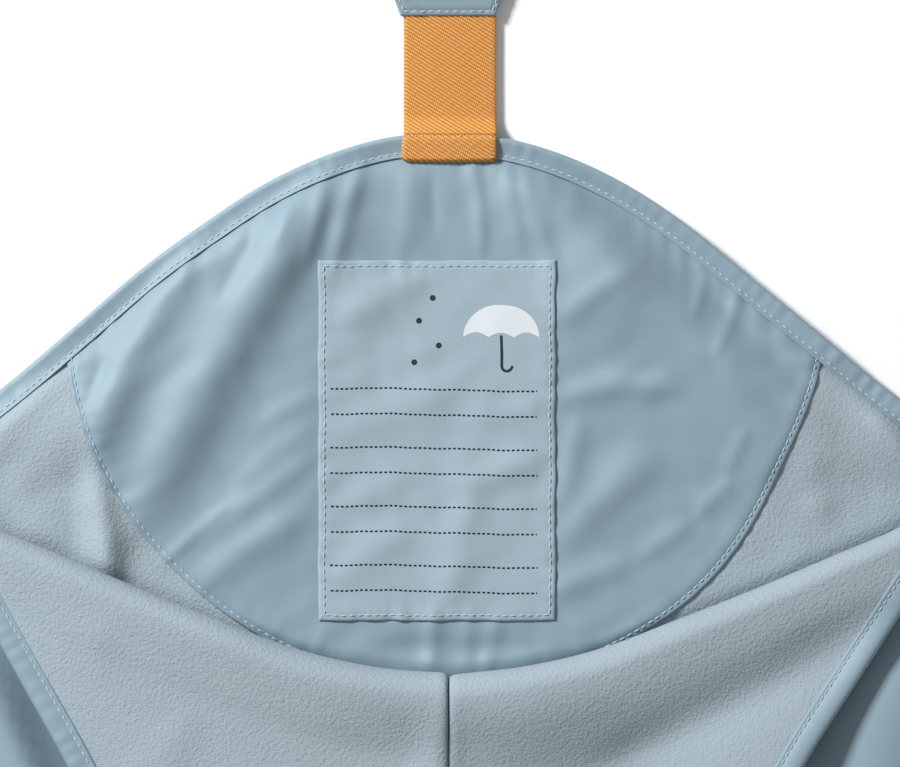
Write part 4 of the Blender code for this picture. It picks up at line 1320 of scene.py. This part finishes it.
def make_back_tape():
    """Edge tape bound over the back's top edge, with its stitch line."""
    distance, level = BACK_TAPE_SECTION.T
    for side, word in SIDES:
        x = side * np.linspace(171.0, GAP / 2.0, 330)
        line = together(x, top_edge_y(x))
        inward = inward_of(line, -side)
        run = run_along(line)
        low = YOKE_LOW + (FACING + GAP) * smooth((140.0 - np.abs(x)) / 15.0)
        far = smooth((np.abs(x) - 95.0) / 40.0)
        ripple = puckers(run, 1.0, 6.4, 2.0 + side) * (0.1 + 0.12 * far)
        floor = low[:, None] * (1.0 + level / 4.0)
        height = np.where(level < -0.01, floor, low[:, None] + level)
        height = height + ripple[:, None] * np.clip(level, 0.0, 1.2) * (distance > 0.5)
        piece = bind_edge(
            "edge_tape_" + word, "back_tape_" + word, line, inward, BACK_TAPE_SECTION, height, place_back
        )
        x, y = (line + inward * TAPE_ROW).T
        row = line_on(place_back, x, y, low + 0.25 + ripple * 0.7 + 0.14)
        seam = stitching("edge_stitching_" + word, [row], "tape")


def make_front():
    """The front's shell, half by half: leg, roll and folded bib in one piece of cloth."""
    across = spread(56, 0.45, 0.45)
    up = np.concatenate([np.linspace(0.0, 0.62, 150), np.linspace(0.62, 1.0, 44)[1:]])
    for side, word in SIDES:
        leg_x, leg_y = leg_grid(side, across, up, roll_start, 0.0)
        roll_x = np.broadcast_to(side * SIDE_X * across, (8, len(across)))
        flap_x, flap_y = flap_grid(side, across, 62)
        x = np.concatenate([leg_x, roll_x, flap_x])
        run = np.concatenate([leg_y, roll_grid(roll_x, 8), over_roll(flap_x, flap_y)])
        from_side = np.where(run < UNDERARM_Y - 20.0, follow(SIDE_SEAM, run) - np.abs(x), 20.0)
        below = np.where(run < CROTCH_Y + 8.0, follow(INNER_SEAM, run), -20.0)
        from_inner = np.abs(x) - below
        folds = creases(LEG_CREASES, x, run) * smooth((roll_start(x) - 4.0 - run) / 16.0)
        folds *= smooth(from_side / 14.0) * smooth(from_inner / 14.0)
        drop = 1.4 * (1.0 - rounded(from_side / 1.6)) + 1.4 * (1.0 - rounded(from_inner / 1.6))
        seam = -0.5 * ridge(np.abs(x), 0.0, 1.0) + 0.15 * ridge(np.abs(x), MIDDLE_ROW_X, 1.6)
        seam = np.where((run > CROTCH_Y) & (run < roll_start(x)), seam, 0.0)
        points = place_front(x, run, FRONT_SHELL_HIGH + folds + hem_relief(run) + seam - drop)
        flat = together(x, run)
        look = ("shell_cloth", "shell", "front_" + word)
        piece = cloth_layer("front_shell_" + word, points, flat, side < 0.0, SHELL, *look)
        declare(flat)


def fleece_relief(x, run):
    """Relief of the front's fleece: the rounded edge at the middle seam, and slack."""
    distance = np.abs(x)
    edge = 0.9 * np.exp(-distance / 0.7) - 0.12 * ridge(distance, 3.0, 2.0)
    edge += 0.5 * np.exp(-distance / 7.0) * np.sign(x)
    past = run - roll_start(x)
    slack = 0.35 * np.sin(past * 0.09 + np.abs(x) * 0.05) * smooth(past / 30.0)
    seam_pull = 0.3 * puckers(past, 1.0, 11.0, 4.0) * np.exp(-distance / 6.0)
    return edge + slack * smooth(distance / 30.0) + seam_pull


def make_front_lining():
    """The front's fleece, which shows on the roll and on the folded bib."""
    across = spread(112, 0.45)
    inner = 0.05
    for side, word in SIDES:
        top_x = side * SIDE_X * across
        low = lining_end(top_x)
        leg_run = low + np.linspace(0.0, 1.0, 40)[:, None] * (roll_start(top_x) - low)
        leg_x = lining_x(side, across, leg_run, inner)
        roll_x = np.broadcast_to(side * (inner + (SIDE_X - inner) * across), (14, len(across)))
        flap_x, flap_y = flap_grid(side, across, 112)
        flap_x = flap_x + side * inner * (1.0 - across)
        x = np.concatenate([leg_x, roll_x, flap_x])
        run = np.concatenate([leg_run, roll_grid(roll_x, 14), over_roll(flap_x, flap_y)])
        points = place_front(x, run, fleece_relief(x, run))
        flat = together(x, run)
        look = ("brushed_fleece", "fleece", "front_lining_" + word)
        piece = cloth_layer("front_fleece_" + word, points, flat, side > 0.0, FLEECE - 0.2, *look)
        declare(flat)


def place_flap(x, y, height):
    """Lay points of the folded bib in place, by their plan; height is above the fleece's face."""
    y = np.minimum(y, fold_y(x) - 0.01)
    return place_front(x, over_roll(x, y), -np.asarray(height, float))


def make_bib_tape():
    """Edge tape bound over the bib's sides and top, with its stitch lines."""
    strips = []
    for side, word in SIDES:
        y = np.linspace(UNDERARM_Y - 1.0, BIB_TOP_Y + 8.0, 300)
        line = together(bib_side_x(side, y), y)
        strips.append((word, line, inward_of(line, side)))
    left, right = (float(bib_side_x(side, BIB_TOP_Y)) for side, _ in SIDES)
    line = together(np.linspace(left, right, 200), BIB_TOP_Y)
    strips.append(("top", line, np.broadcast_to((0.0, 1.0), line.shape)))
    level = BIB_SECTION[:, 1]
    for word, line, inward in strips:
        run = run_along(line)
        ripple = puckers(run, 1.0, 6.0, 6.0) * 0.14
        height = level + ripple[:, None] * np.clip(level, 0.0, 1.2)
        piece = bind_edge(
            "bib_edge_" + word, "bib_tape_" + word, line, inward, BIB_SECTION, height, place_flap
        )
        x, y = (line + inward * BIB_TAPE_ROW).T
        kept = y < fold_y(x) - 1.5
        x, y, ripple = x[kept], y[kept], ripple[kept]
        rows = []
        for height, face in ((0.5 + ripple, 1.0), (-4.57 + 0.0 * ripple, -1.0)):
            points, up = line_on(place_flap, x, y, height)
            rows.append((points, up * (face * np.sign(up[len(x) // 2, 2]))))
        seam = stitching("bib_stitching_" + word, rows, "tape")


def make_leg_stitching():
    """Hem rows round both legs and the row beside the front's middle seam."""
    lines = []
    share = np.linspace(0.0, 1.0, 240)
    row_y = HEM_Y + HEM_DEPTH
    for side, _ in SIDES:
        inner = float(follow(INNER_SEAM, row_y)) + 2.0
        outer = float(follow(SIDE_SEAM, row_y)) - 2.0
        x = side * (inner + share * (outer - inner))
        lines.append(line_on(place_front, x, np.full_like(x, row_y), FRONT_SHELL_HIGH + 0.1))
    y = np.linspace(CROTCH_Y + 3.0, -182.0, 300)
    x = np.full_like(y, MIDDLE_ROW_X)
    lines.append(line_on(place_front, x, y, FRONT_SHELL_HIGH + 0.3))
    stitching("leg_stitching", lines)


def elastic_section(half):
    """Section round the elastic: distance across and side up (1) or down (-1)."""
    upper = [(share * half, 1.0) for share in np.linspace(-1.0, 1.0, 125)]
    lower = [(share * half, -1.0) for share in np.linspace(1.0, -1.0, 17)]
    turns = np.radians(np.linspace(75.0, -75.0, 7))
    right = [(half + ELASTIC_EDGE * math.cos(turn), math.sin(turn)) for turn in turns]
    left = [(-across, up) for across, up in reversed(right)]
    return np.array(upper + right + lower + left)


def elastic_yarns(across, along, half):
    """Height of the yarns: ribs of small beads, and a plain edge."""
    rib = 0.5 + 0.5 * np.cos(TURN * (along + RIB_SLOPE * across) / RIB_PITCH)
    bead = 0.5 + 0.5 * np.cos(TURN * (across - YARN_SLOPE * along) / YARN_PITCH)
    uneven = 1.0 + 0.2 * np.sin(along * 1.9 + across * 0.7) * np.sin(across * 2.3)
    inner = smooth((half - np.abs(across)) / 0.7)
    edge = 0.05 * np.cos(TURN * along / 0.8)
    return ELASTIC_RELIEF * rib * (0.35 + 0.65 * bead) * uneven * inner + edge * (1.0 - inner)


def make_elastic():
    """Woven elastic from the yoke to the brace junction, its end folded under and sewn."""
    half = ELASTIC_WIDTH / 2.0 - ELASTIC_EDGE
    section = elastic_section(half)
    y = np.linspace(ELASTIC_END_Y, JUNCTION_Y + POCKET_DEPTH - 0.8, 240)
    across, up = section.T
    along = y[:, None]
    base = follow(ELASTIC_HEIGHTS, along)
    under = base - 1.15 * smooth((-6.5 - along) / 0.5)
    doubled = 0.75 * smooth((1.9 - along) / 1.4)
    sewn = -0.5 * ridge(along, ELASTIC_SEAM_Y, 0.7)
    bow = 0.3 * np.cos(across / half * 1.3)
    top = base + ELASTIC_THICKNESS + doubled + sewn + bow + elastic_yarns(across, along, half)
    middle = (under + top) / 2.0
    z = np.where(up >= 0.99, top, np.where(up <= -0.99, under, middle + up * (top - under) / 2.0))
    z = under + 0.25 + (z - under - 0.25) * rounded((along - ELASTIC_END_Y) / 1.5)
    corner = smooth((np.abs(across) - half + 1.0) / 1.4)
    y_drawn = along + (0.7 * corner - 0.25 * (1.0 - (across / half) ** 2)) * smooth(-along / 8.0)
    folded = smooth((1.0 - along) / 6.0)
    x = ELASTIC_X + across * (1.0 + 0.026 * folded) - 0.3 * folded
    flat = together(run_along(section) - half, along)
    mesh = tube_mesh("brace_elastic", together(x, y_drawn, z), flat)
    piece = add_piece(mesh, "woven_elastic", "elastic", "elastic")
    share = np.linspace(-1.0, 1.0, 140)
    zigzag = 0.45 * np.abs(2.0 * ((share * half / 1.9) % 1.0) - 1.0)
    height = float(follow(ELASTIC_HEIGHTS, 0.0)) + ELASTIC_THICKNESS + 0.62
    line = upright(ELASTIC_X + share * (half - 0.7), ELASTIC_SEAM_Y + zigzag - 0.2, height)
    sewing = stitching("elastic_stitching", [line], "elastic", "elastic_thread", ELASTIC_STITCH)


def junction_half_width(y):
    """Half the junction's width."""
    return JUNCTION_WIDTH / 2.0 + JUNCTION_FLARE * (y - JUNCTION_Y)


def make_junction():
    """Brace junction: two layers of shell cloth turned in at their edges and sewn together."""
    low, high = JUNCTION_Y, JUNCTION_Y + JUNCTION_LENGTH
    across = spread(64, 0.7, 0.7)[None, :] * 2.0 - 1.0
    y = low + spread(60, 0.7, 0.7)[:, None] * (high - low) + 0.0 * across
    half = junction_half_width(y)
    x = across * half
    inside = np.minimum(half - np.abs(x), np.minimum(y - low, high - y))
    bulge = 0.9 * (1.0 - rounded(inside / 1.2))
    groove = -0.3 * ridge(inside, JUNCTION_SEAM_INSET, 0.55) + 0.14 * ridge(inside, 3.4, 1.4)
    ripple = puckers(x + y, 0.3, 6.0, 1.0) * fading(inside, 4.0)
    flat = together(x, y)
    upper = together(x, y, JUNCTION_HEIGHT - bulge + (groove + ripple))
    lower = together(x, y, bulge)
    look = ("brace_cloth", "shell")
    piece = cloth_layer("brace_junction", upper, flat, False, SHELL, *look, "strap_junction")
    underside = cloth_layer("brace_junction_underside", lower, flat, True, SHELL, *look)
    lines = []
    share = np.linspace(0.0, 1.0, 90)
    height = JUNCTION_HEIGHT - 0.1
    for row_y in (low + 1.5, high - JUNCTION_SEAM_INSET, low + POCKET_DEPTH - 1.0):
        reach = junction_half_width(row_y) - JUNCTION_SEAM_INSET
        lines.append(upright((2.0 * share - 1.0) * reach, row_y, height))
    for side, _ in SIDES:
        y = low + JUNCTION_SEAM_INSET + share * (high - low - 2.0 * JUNCTION_SEAM_INSET)
        lines.append(upright(side * (junction_half_width(y) - JUNCTION_SEAM_INSET), y, height))
    seam = stitching("junction_stitching", lines)
    declare(flat, [seam])
    declare(flat)


def on_brace(side, distance, sideways):
    """Points of a brace's drawing, by the distance from its start and from its outer edge."""
    lean = math.atan(JUNCTION_FLARE)
    start_x = side * (junction_half_width(STRAP_START_Y) - STRAP_EDGE)
    x = start_x + side * math.sin(lean) * distance - side * math.cos(lean) * sideways
    return x, STRAP_START_Y + math.cos(lean) * distance + math.sin(lean) * sideways


def brace_drop(y):
    """Height of a brace's underside, which comes down from the junction to the floor."""
    return (SHELL + GAP) * (1.0 - smooth((y - JUNCTION_Y - JUNCTION_LENGTH) / STRAP_DROP))


def brace_sway(distance):
    """Slack that lifts a brace a little off the floor."""
    return np.abs(0.25 * np.sin(distance * 0.05)) * smooth((distance - 40.0) / 60.0)


def make_braces():
    """Two braces with stitched edges and buttonholes at their free ends."""
    distance = spread(160)[:, None] * STRAP_LENGTH
    sideways = spread(18, 0.8, 0.8)[None, :] * STRAP_WIDTH
    from_edge = np.minimum(sideways, STRAP_WIDTH - sideways)
    inside = np.minimum(from_edge, STRAP_LENGTH - distance)
    turned = 0.5 * (1.0 - rounded(inside / 0.8))
    groove = -0.28 * ridge(inside, BRACE_SEAM_INSET, 0.6)
    for side, word in SIDES:
        x, y = on_brace(side, distance, sideways)
        x = np.where(side * x < 0.15, side * 0.15, x)
        y = np.maximum(y, STRAP_START_Y)
        ripple = puckers(distance, 0.3, 7.0, 4.0 + side) * fading(inside, 5.0)
        z = brace_drop(y) + STRAP_THICKNESS - turned + groove + ripple + brace_sway(distance)
        points, flat = together(x, y, z), together(sideways, distance)
        look = ("brace_cloth", "shell", "strap_" + word)
        thickness = STRAP_THICKNESS - 0.45
        piece = cloth_layer("brace_" + word, points, flat, side > 0.0, thickness, *look)
        row = np.linspace(40.0, STRAP_LENGTH - BRACE_SEAM_INSET, 500)
        across = np.linspace(BRACE_SEAM_INSET, STRAP_WIDTH - BRACE_SEAM_INSET, 100)
        lines = []
        for distances, offsets in ((row, across[0]), (row, across[-1]), (row[-1], across)):
            x, y = on_brace(side, distances, offsets)
            height = brace_drop(y) + STRAP_THICKNESS - 0.2 + brace_sway(distances)
            lines.append(upright(x, y, height))
        seam = stitching("brace_stitching_" + word, lines)
        holes = make_buttonholes(side, word)


def make_buttonholes(side, word):
    """Buttonholes down a brace's free end, worked closely with thread round a slit."""
    lines = []
    reach = np.array([0.55, 1.35, 2.2])
    for from_end in BUTTONHOLES:
        for turn in np.linspace(0.0, TURN, 44, endpoint=False):
            centre = max(-1.0, min(1.0, 1.6 * math.cos(turn))) * BUTTONHOLE_HALF
            row = STRAP_LENGTH - from_end + (centre + math.cos(turn) * reach)
            x, y = on_brace(side, row, STRAP_WIDTH / 2.0 + math.sin(turn) * reach)
            lines.append(upright(x, y, STRAP_THICKNESS + brace_sway(row) + 0.05))
    return stitching("buttonholes_" + word, lines, size=BUTTONHOLE_STITCH)


def make_buttons():
    """Two buttons on the bib's outer side, each with a rim, bars of thread and a shank."""
    for side, word in SIDES:
        x = np.array([side * BUTTON_X])
        run = over_roll(x, np.array([BUTTON_Y]))
        seat, ahead = (
            place_front(x, run, FRONT_SHELL_HIGH + BUTTON_SHANK + lift)[0] for lift in (0.0, 1.0)
        )
        disc = bmesh.new()
        points = [
            disc.verts.new((BUTTON_RADIUS * reach * MM, 0.0, BUTTON_THICKNESS * height * MM))
            for reach, height in BUTTON_PROFILE
        ]
        edges = [disc.edges.new(pair) for pair in zip(points, points[1:])]
        bmesh.ops.spin(
            disc,
            geom=points + edges,
            axis=(0.0, 0.0, 1.0),
            cent=(0.0, 0.0, 0.0),
            steps=64,
            angle=TURN,
        )
        bmesh.ops.remove_doubles(disc, verts=disc.verts, dist=1e-6)
        add_shank(disc)
        bmesh.ops.recalc_face_normals(disc, faces=disc.faces)
        turn = Vector(ahead - seat).to_track_quat("Z", "Y").to_matrix().to_4x4()
        place = Matrix.Translation(Vector(to_frame(seat))) @ turn
        bmesh.ops.transform(disc, matrix=place, verts=disc.verts)
        mesh = bpy.data.meshes.new("bib_button_" + word)
        disc.to_mesh(mesh)
        disc.free()
        mesh.shade_smooth()
        add_piece(mesh, "button_plastic", "button", "button_" + word)


def add_shank(disc):
    """Two bars of thread on top of a button, and its short shank of thread below."""
    for offset in (-1.6, 1.6):
        bar = bmesh.ops.create_uvsphere(disc, u_segments=12, v_segments=8, radius=1.0 * MM)
        bmesh.ops.scale(disc, vec=(2.4, 0.5, 0.4), verts=bar["verts"])
        height = BUTTON_THICKNESS * 0.66 * MM
        bmesh.ops.translate(disc, vec=(0.0, offset * MM, height), verts=bar["verts"])
    shank = bmesh.ops.create_cone(
        disc,
        cap_ends=True,
        segments=20,
        radius1=2.2 * MM,
        radius2=2.0 * MM,
        depth=BUTTON_SHANK * MM * 1.1,
    )
    bmesh.ops.translate(disc, vec=(0.0, 0.0, -BUTTON_SHANK * MM * 0.5), verts=shank["verts"])


# Stage

def area_light(name, place, target, size, power):
    """Soft square light that looks at a point."""
    data = bpy.data.lights.new(name, "AREA")
    data.shape = "SQUARE"
    data.size = size
    data.energy = power
    lamp = bpy.data.objects.new(name, data)
    lamp.location = place
    lamp.rotation_mode = "QUATERNION"
    lamp.rotation_quaternion = (Vector(target) - Vector(place)).to_track_quat("-Z", "Y")
    bpy.context.scene.collection.objects.link(lamp)


def make_stage():
    """White paper floor, a large key light from the upper left, a fill and the camera overhead."""
    scene = bpy.context.scene
    stage = scene.trouser_stage
    low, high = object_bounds()
    middle = (low + high) / 2.0
    floor_mesh = bpy.data.meshes.new("floor")
    work = bmesh.new()
    bmesh.ops.create_grid(work, x_segments=8, y_segments=8, size=stage.floor_size / 2.0)
    bmesh.ops.translate(work, vec=(middle.x, middle.y, low.z - FLOOR_GAP), verts=work.verts)
    work.to_mesh(floor_mesh)
    work.free()
    floor = bpy.data.objects.new("floor", floor_mesh)
    floor_mesh.materials.append(material_named("paper"))
    scene.collection.objects.link(floor)
    floor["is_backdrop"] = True
    aim = Vector((stage.aim_x, stage.aim_y, 0.0))
    flat = math.cos(stage.key_elevation)
    direction = Vector(
        (
            flat * math.cos(stage.key_azimuth),
            flat * math.sin(stage.key_azimuth),
            math.sin(stage.key_elevation),
        )
    )
    area_light("key", aim + direction * stage.key_distance, aim, stage.key_size, stage.key_power)
    area_light("fill", aim + Vector(FILL_OFFSET), aim, FILL_SIZE, stage.fill_power)
    world = bpy.data.worlds.new("studio")
    world.use_nodes = True
    background = world.node_tree.nodes["Background"]
    background.inputs["Color"].default_value = STUDIO_COLOUR
    background.inputs["Strength"].default_value = stage.surround
    scene.world = world
    scene.view_settings.view_transform = "Standard"
    data = bpy.data.cameras.new("overhead")
    data.sensor_width = SENSOR_WIDTH
    data.lens = data.sensor_width * stage.camera_height / stage.view_width
    camera = bpy.data.objects.new("overhead", data)
    camera.location = (stage.aim_x, stage.aim_y, stage.camera_height)
    scene.collection.objects.link(camera)
    scene.camera = camera


# Add-on

def length_property(label, text, value):
    """A length that a user would change, in metres."""
    return bpy.props.FloatProperty(
        name=label, description=text, default=value, unit="LENGTH", precision=5
    )


def angle_property(label, text, degrees):
    """An angle that a user would change."""
    return bpy.props.FloatProperty(
        name=label, description=text, default=math.radians(degrees), subtype="ANGLE"
    )


def plain_property(label, text, value):
    """A light's power or strength that a user would change."""
    return bpy.props.FloatProperty(name=label, description=text, default=value)


def colour_property(label, text, value):
    """A colour that a user would change."""
    return bpy.props.FloatVectorProperty(
        name=label, description=text, default=value, subtype="COLOR", size=3, min=0.0, max=1.0
    )


class TrouserSizes(bpy.types.PropertyGroup):
    """Sizes of the sewing."""

    stitch_pitch: length_property("Stitch Pitch", "Distance from one stitch to the next", 0.0027)
    stitch_length: length_property(
        "Stitch Length", "Length of the thread that shows in each stitch", 0.0020
    )
    thread_radius: length_property("Thread Radius", "Half the sewing thread's thickness", 0.00024)


class TrouserColours(bpy.types.PropertyGroup):
    """Colours of the cloth, elastic, thread, print and paper."""

    shell: colour_property("Shell", "Coated shell cloth", (0.228, 0.322, 0.380))
    tape: colour_property("Edge Tape", "Tape round the edges", (0.238, 0.331, 0.390))
    strap: colour_property("Braces", "Cloth of the braces", (0.205, 0.280, 0.330))
    fleece: colour_property("Fleece", "Brushed lining", (0.325, 0.392, 0.432))
    patch: colour_property("Patch", "Label cloth", (0.335, 0.430, 0.487))
    elastic: colour_property("Elastic", "Woven elastic", (0.72, 0.33, 0.085))
    thread: colour_property("Thread", "Sewing thread of the seams", (0.42, 0.53, 0.60))
    elastic_thread: colour_property("Elastic Thread", "Thread on the elastic", (0.85, 0.52, 0.25))
    print_light: colour_property("Light Print", "Off-white print", (0.66, 0.70, 0.73))
    print_dark: colour_property("Dark Print", "Navy print", (0.006, 0.012, 0.028))
    button: colour_property("Button", "Moulded buttons", (0.25, 0.34, 0.40))
    paper: colour_property("Paper", "Floor of the studio", (0.94, 0.94, 0.94))


class TrouserStage(bpy.types.PropertyGroup):
    """Camera, lights and floor."""

    aim_x: length_property("Aim X", "Middle of the view across", 0.00065)
    aim_y: length_property("Aim Y", "Middle of the view along", 0.118)
    camera_height: length_property("Camera Height", "Height over the floor", 3.0)
    view_width: length_property("View Width", "Width of floor in the view", 0.2945)
    floor_size: length_property("Floor Size", "Side of the paper", 12.0)
    key_azimuth: angle_property(
        "Key Azimuth", "Direction of the key light, anticlockwise from the right", 143.0
    )
    key_elevation: angle_property("Key Elevation", "Height of the key light over the floor", 38.0)
    key_distance: length_property("Key Distance", "Distance of the key light", 2.4)
    key_size: length_property("Key Size", "Side of the key light", 0.5)
    key_power: plain_property("Key Power", "Key light's power in watts", 76.0)
    fill_power: plain_property("Fill Power", "Overhead fill's power in watts", 2.0)
    surround: plain_property("Surround", "Strength of the studio's even light", 0.34)


class TROUSERS_OT_back_shell(bpy.types.Operator):
    """Make the back's shell"""

    bl_idname = "trousers.back_shell"
    bl_label = "Back"
    bl_options = {"REGISTER", "UNDO"}

    def execute(self, context):
        make_back()
        return {"FINISHED"}


class TROUSERS_OT_back_fleece(bpy.types.Operator):
    """Make the back's fleece lining"""

    bl_idname = "trousers.back_fleece"
    bl_label = "Back Fleece"
    bl_options = {"REGISTER", "UNDO"}

    def execute(self, context):
        make_back_lining()
        return {"FINISHED"}


class TROUSERS_OT_yoke(bpy.types.Operator):
    """Make the yoke facing and its stitches"""

    bl_idname = "trousers.yoke"
    bl_label = "Yoke Facing"
    bl_options = {"REGISTER", "UNDO"}

    def execute(self, context):
        make_yoke()
        return {"FINISHED"}


class TROUSERS_OT_patch(bpy.types.Operator):
    """Make the name patch, its print and its stitches"""

    bl_idname = "trousers.patch"
    bl_label = "Name Patch"
    bl_options = {"REGISTER", "UNDO"}

    def execute(self, context):
        make_patch()
        return {"FINISHED"}


class TROUSERS_OT_edge_tape(bpy.types.Operator):
    """Bind the back's top edge"""

    bl_idname = "trousers.edge_tape"
    bl_label = "Edge Tape"
    bl_options = {"REGISTER", "UNDO"}

    def execute(self, context):
        make_back_tape()
        return {"FINISHED"}


class TROUSERS_OT_front_shell(bpy.types.Operator):
    """Make the front's shell with the folded bib"""

    bl_idname = "trousers.front_shell"
    bl_label = "Front and Bib"
    bl_options = {"REGISTER", "UNDO"}

    def execute(self, context):
        make_front()
        return {"FINISHED"}


class TROUSERS_OT_front_fleece(bpy.types.Operator):
    """Make the front's fleece lining"""

    bl_idname = "trousers.front_fleece"
    bl_label = "Front Fleece"
    bl_options = {"REGISTER", "UNDO"}

    def execute(self, context):
        make_front_lining()
        return {"FINISHED"}


class TROUSERS_OT_bib_edge(bpy.types.Operator):
    """Bind the bib's edges"""

    bl_idname = "trousers.bib_edge"
    bl_label = "Bib Tape"
    bl_options = {"REGISTER", "UNDO"}

    def execute(self, context):
        make_bib_tape()
        return {"FINISHED"}


class TROUSERS_OT_leg_seams(bpy.types.Operator):
    """Sew the hems and the middle seam"""

    bl_idname = "trousers.leg_seams"
    bl_label = "Leg Stitching"
    bl_options = {"REGISTER", "UNDO"}

    def execute(self, context):
        make_leg_stitching()
        return {"FINISHED"}


class TROUSERS_OT_elastic(bpy.types.Operator):
    """Make the woven elastic"""

    bl_idname = "trousers.elastic"
    bl_label = "Brace Elastic"
    bl_options = {"REGISTER", "UNDO"}

    def execute(self, context):
        make_elastic()
        return {"FINISHED"}


class TROUSERS_OT_junction(bpy.types.Operator):
    """Make the brace junction"""

    bl_idname = "trousers.junction"
    bl_label = "Brace Junction"
    bl_options = {"REGISTER", "UNDO"}

    def execute(self, context):
        make_junction()
        return {"FINISHED"}


class TROUSERS_OT_braces(bpy.types.Operator):
    """Make the two braces"""

    bl_idname = "trousers.braces"
    bl_label = "Braces"
    bl_options = {"REGISTER", "UNDO"}

    def execute(self, context):
        make_braces()
        return {"FINISHED"}


class TROUSERS_OT_buttons(bpy.types.Operator):
    """Make the bib's buttons"""

    bl_idname = "trousers.buttons"
    bl_label = "Bib Buttons"
    bl_options = {"REGISTER", "UNDO"}

    def execute(self, context):
        make_buttons()
        return {"FINISHED"}


class TROUSERS_OT_stage(bpy.types.Operator):
    """Set the floor, the lights and the camera"""

    bl_idname = "trousers.stage"
    bl_label = "Stage"
    bl_options = {"REGISTER", "UNDO"}

    def execute(self, context):
        make_stage()
        return {"FINISHED"}


OPERATORS = (
    TROUSERS_OT_back_shell,
    TROUSERS_OT_back_fleece,
    TROUSERS_OT_yoke,
    TROUSERS_OT_patch,
    TROUSERS_OT_edge_tape,
    TROUSERS_OT_front_shell,
    TROUSERS_OT_front_fleece,
    TROUSERS_OT_bib_edge,
    TROUSERS_OT_leg_seams,
    TROUSERS_OT_elastic,
    TROUSERS_OT_junction,
    TROUSERS_OT_braces,
    TROUSERS_OT_buttons,
    TROUSERS_OT_stage,
)


class TROUSERS_PT_pieces(bpy.types.Panel):
    """Lists the pieces of the trousers in the order in which they are made"""

    bl_label = "Rain Trousers"
    bl_idname = "TROUSERS_PT_pieces"
    bl_space_type = "VIEW_3D"
    bl_region_type = "UI"
    bl_category = "Rain Trousers"

    def draw(self, context):
        for item in OPERATORS:
            self.layout.operator(item.bl_idname)
        for group in ("trouser_sizes", "trouser_colours", "trouser_stage"):
            box = self.layout.box()
            settings = getattr(context.scene, group)
            for name in settings.__annotations__:
                box.prop(settings, name)


CLASSES = (TrouserSizes, TrouserColours, TrouserStage, *OPERATORS, TROUSERS_PT_pieces)


def register():
    """Register the classes and hang the settings on the scene."""
    for item in CLASSES:
        bpy.utils.register_class(item)
    bpy.types.Scene.trouser_sizes = bpy.props.PointerProperty(type=TrouserSizes)
    bpy.types.Scene.trouser_colours = bpy.props.PointerProperty(type=TrouserColours)
    bpy.types.Scene.trouser_stage = bpy.props.PointerProperty(type=TrouserStage)


def unregister():
    """Take the settings and classes away."""
    del bpy.types.Scene.trouser_stage
    del bpy.types.Scene.trouser_colours
    del bpy.types.Scene.trouser_sizes
    for item in reversed(CLASSES):
        bpy.utils.unregister_class(item)


def main():
    """Make every piece around the frame and set the stage."""
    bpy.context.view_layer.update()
    register()
    bpy.ops.trousers.back_shell()
    bpy.ops.trousers.back_fleece()
    bpy.ops.trousers.yoke()
    bpy.ops.trousers.patch()
    bpy.ops.trousers.edge_tape()
    bpy.ops.trousers.front_shell()
    bpy.ops.trousers.front_fleece()
    bpy.ops.trousers.bib_edge()
    bpy.ops.trousers.leg_seams()
    bpy.ops.trousers.elastic()
    bpy.ops.trousers.junction()
    bpy.ops.trousers.braces()
    bpy.ops.trousers.buttons()
    bpy.ops.trousers.stage()


if __name__ == "__main__":
    main()
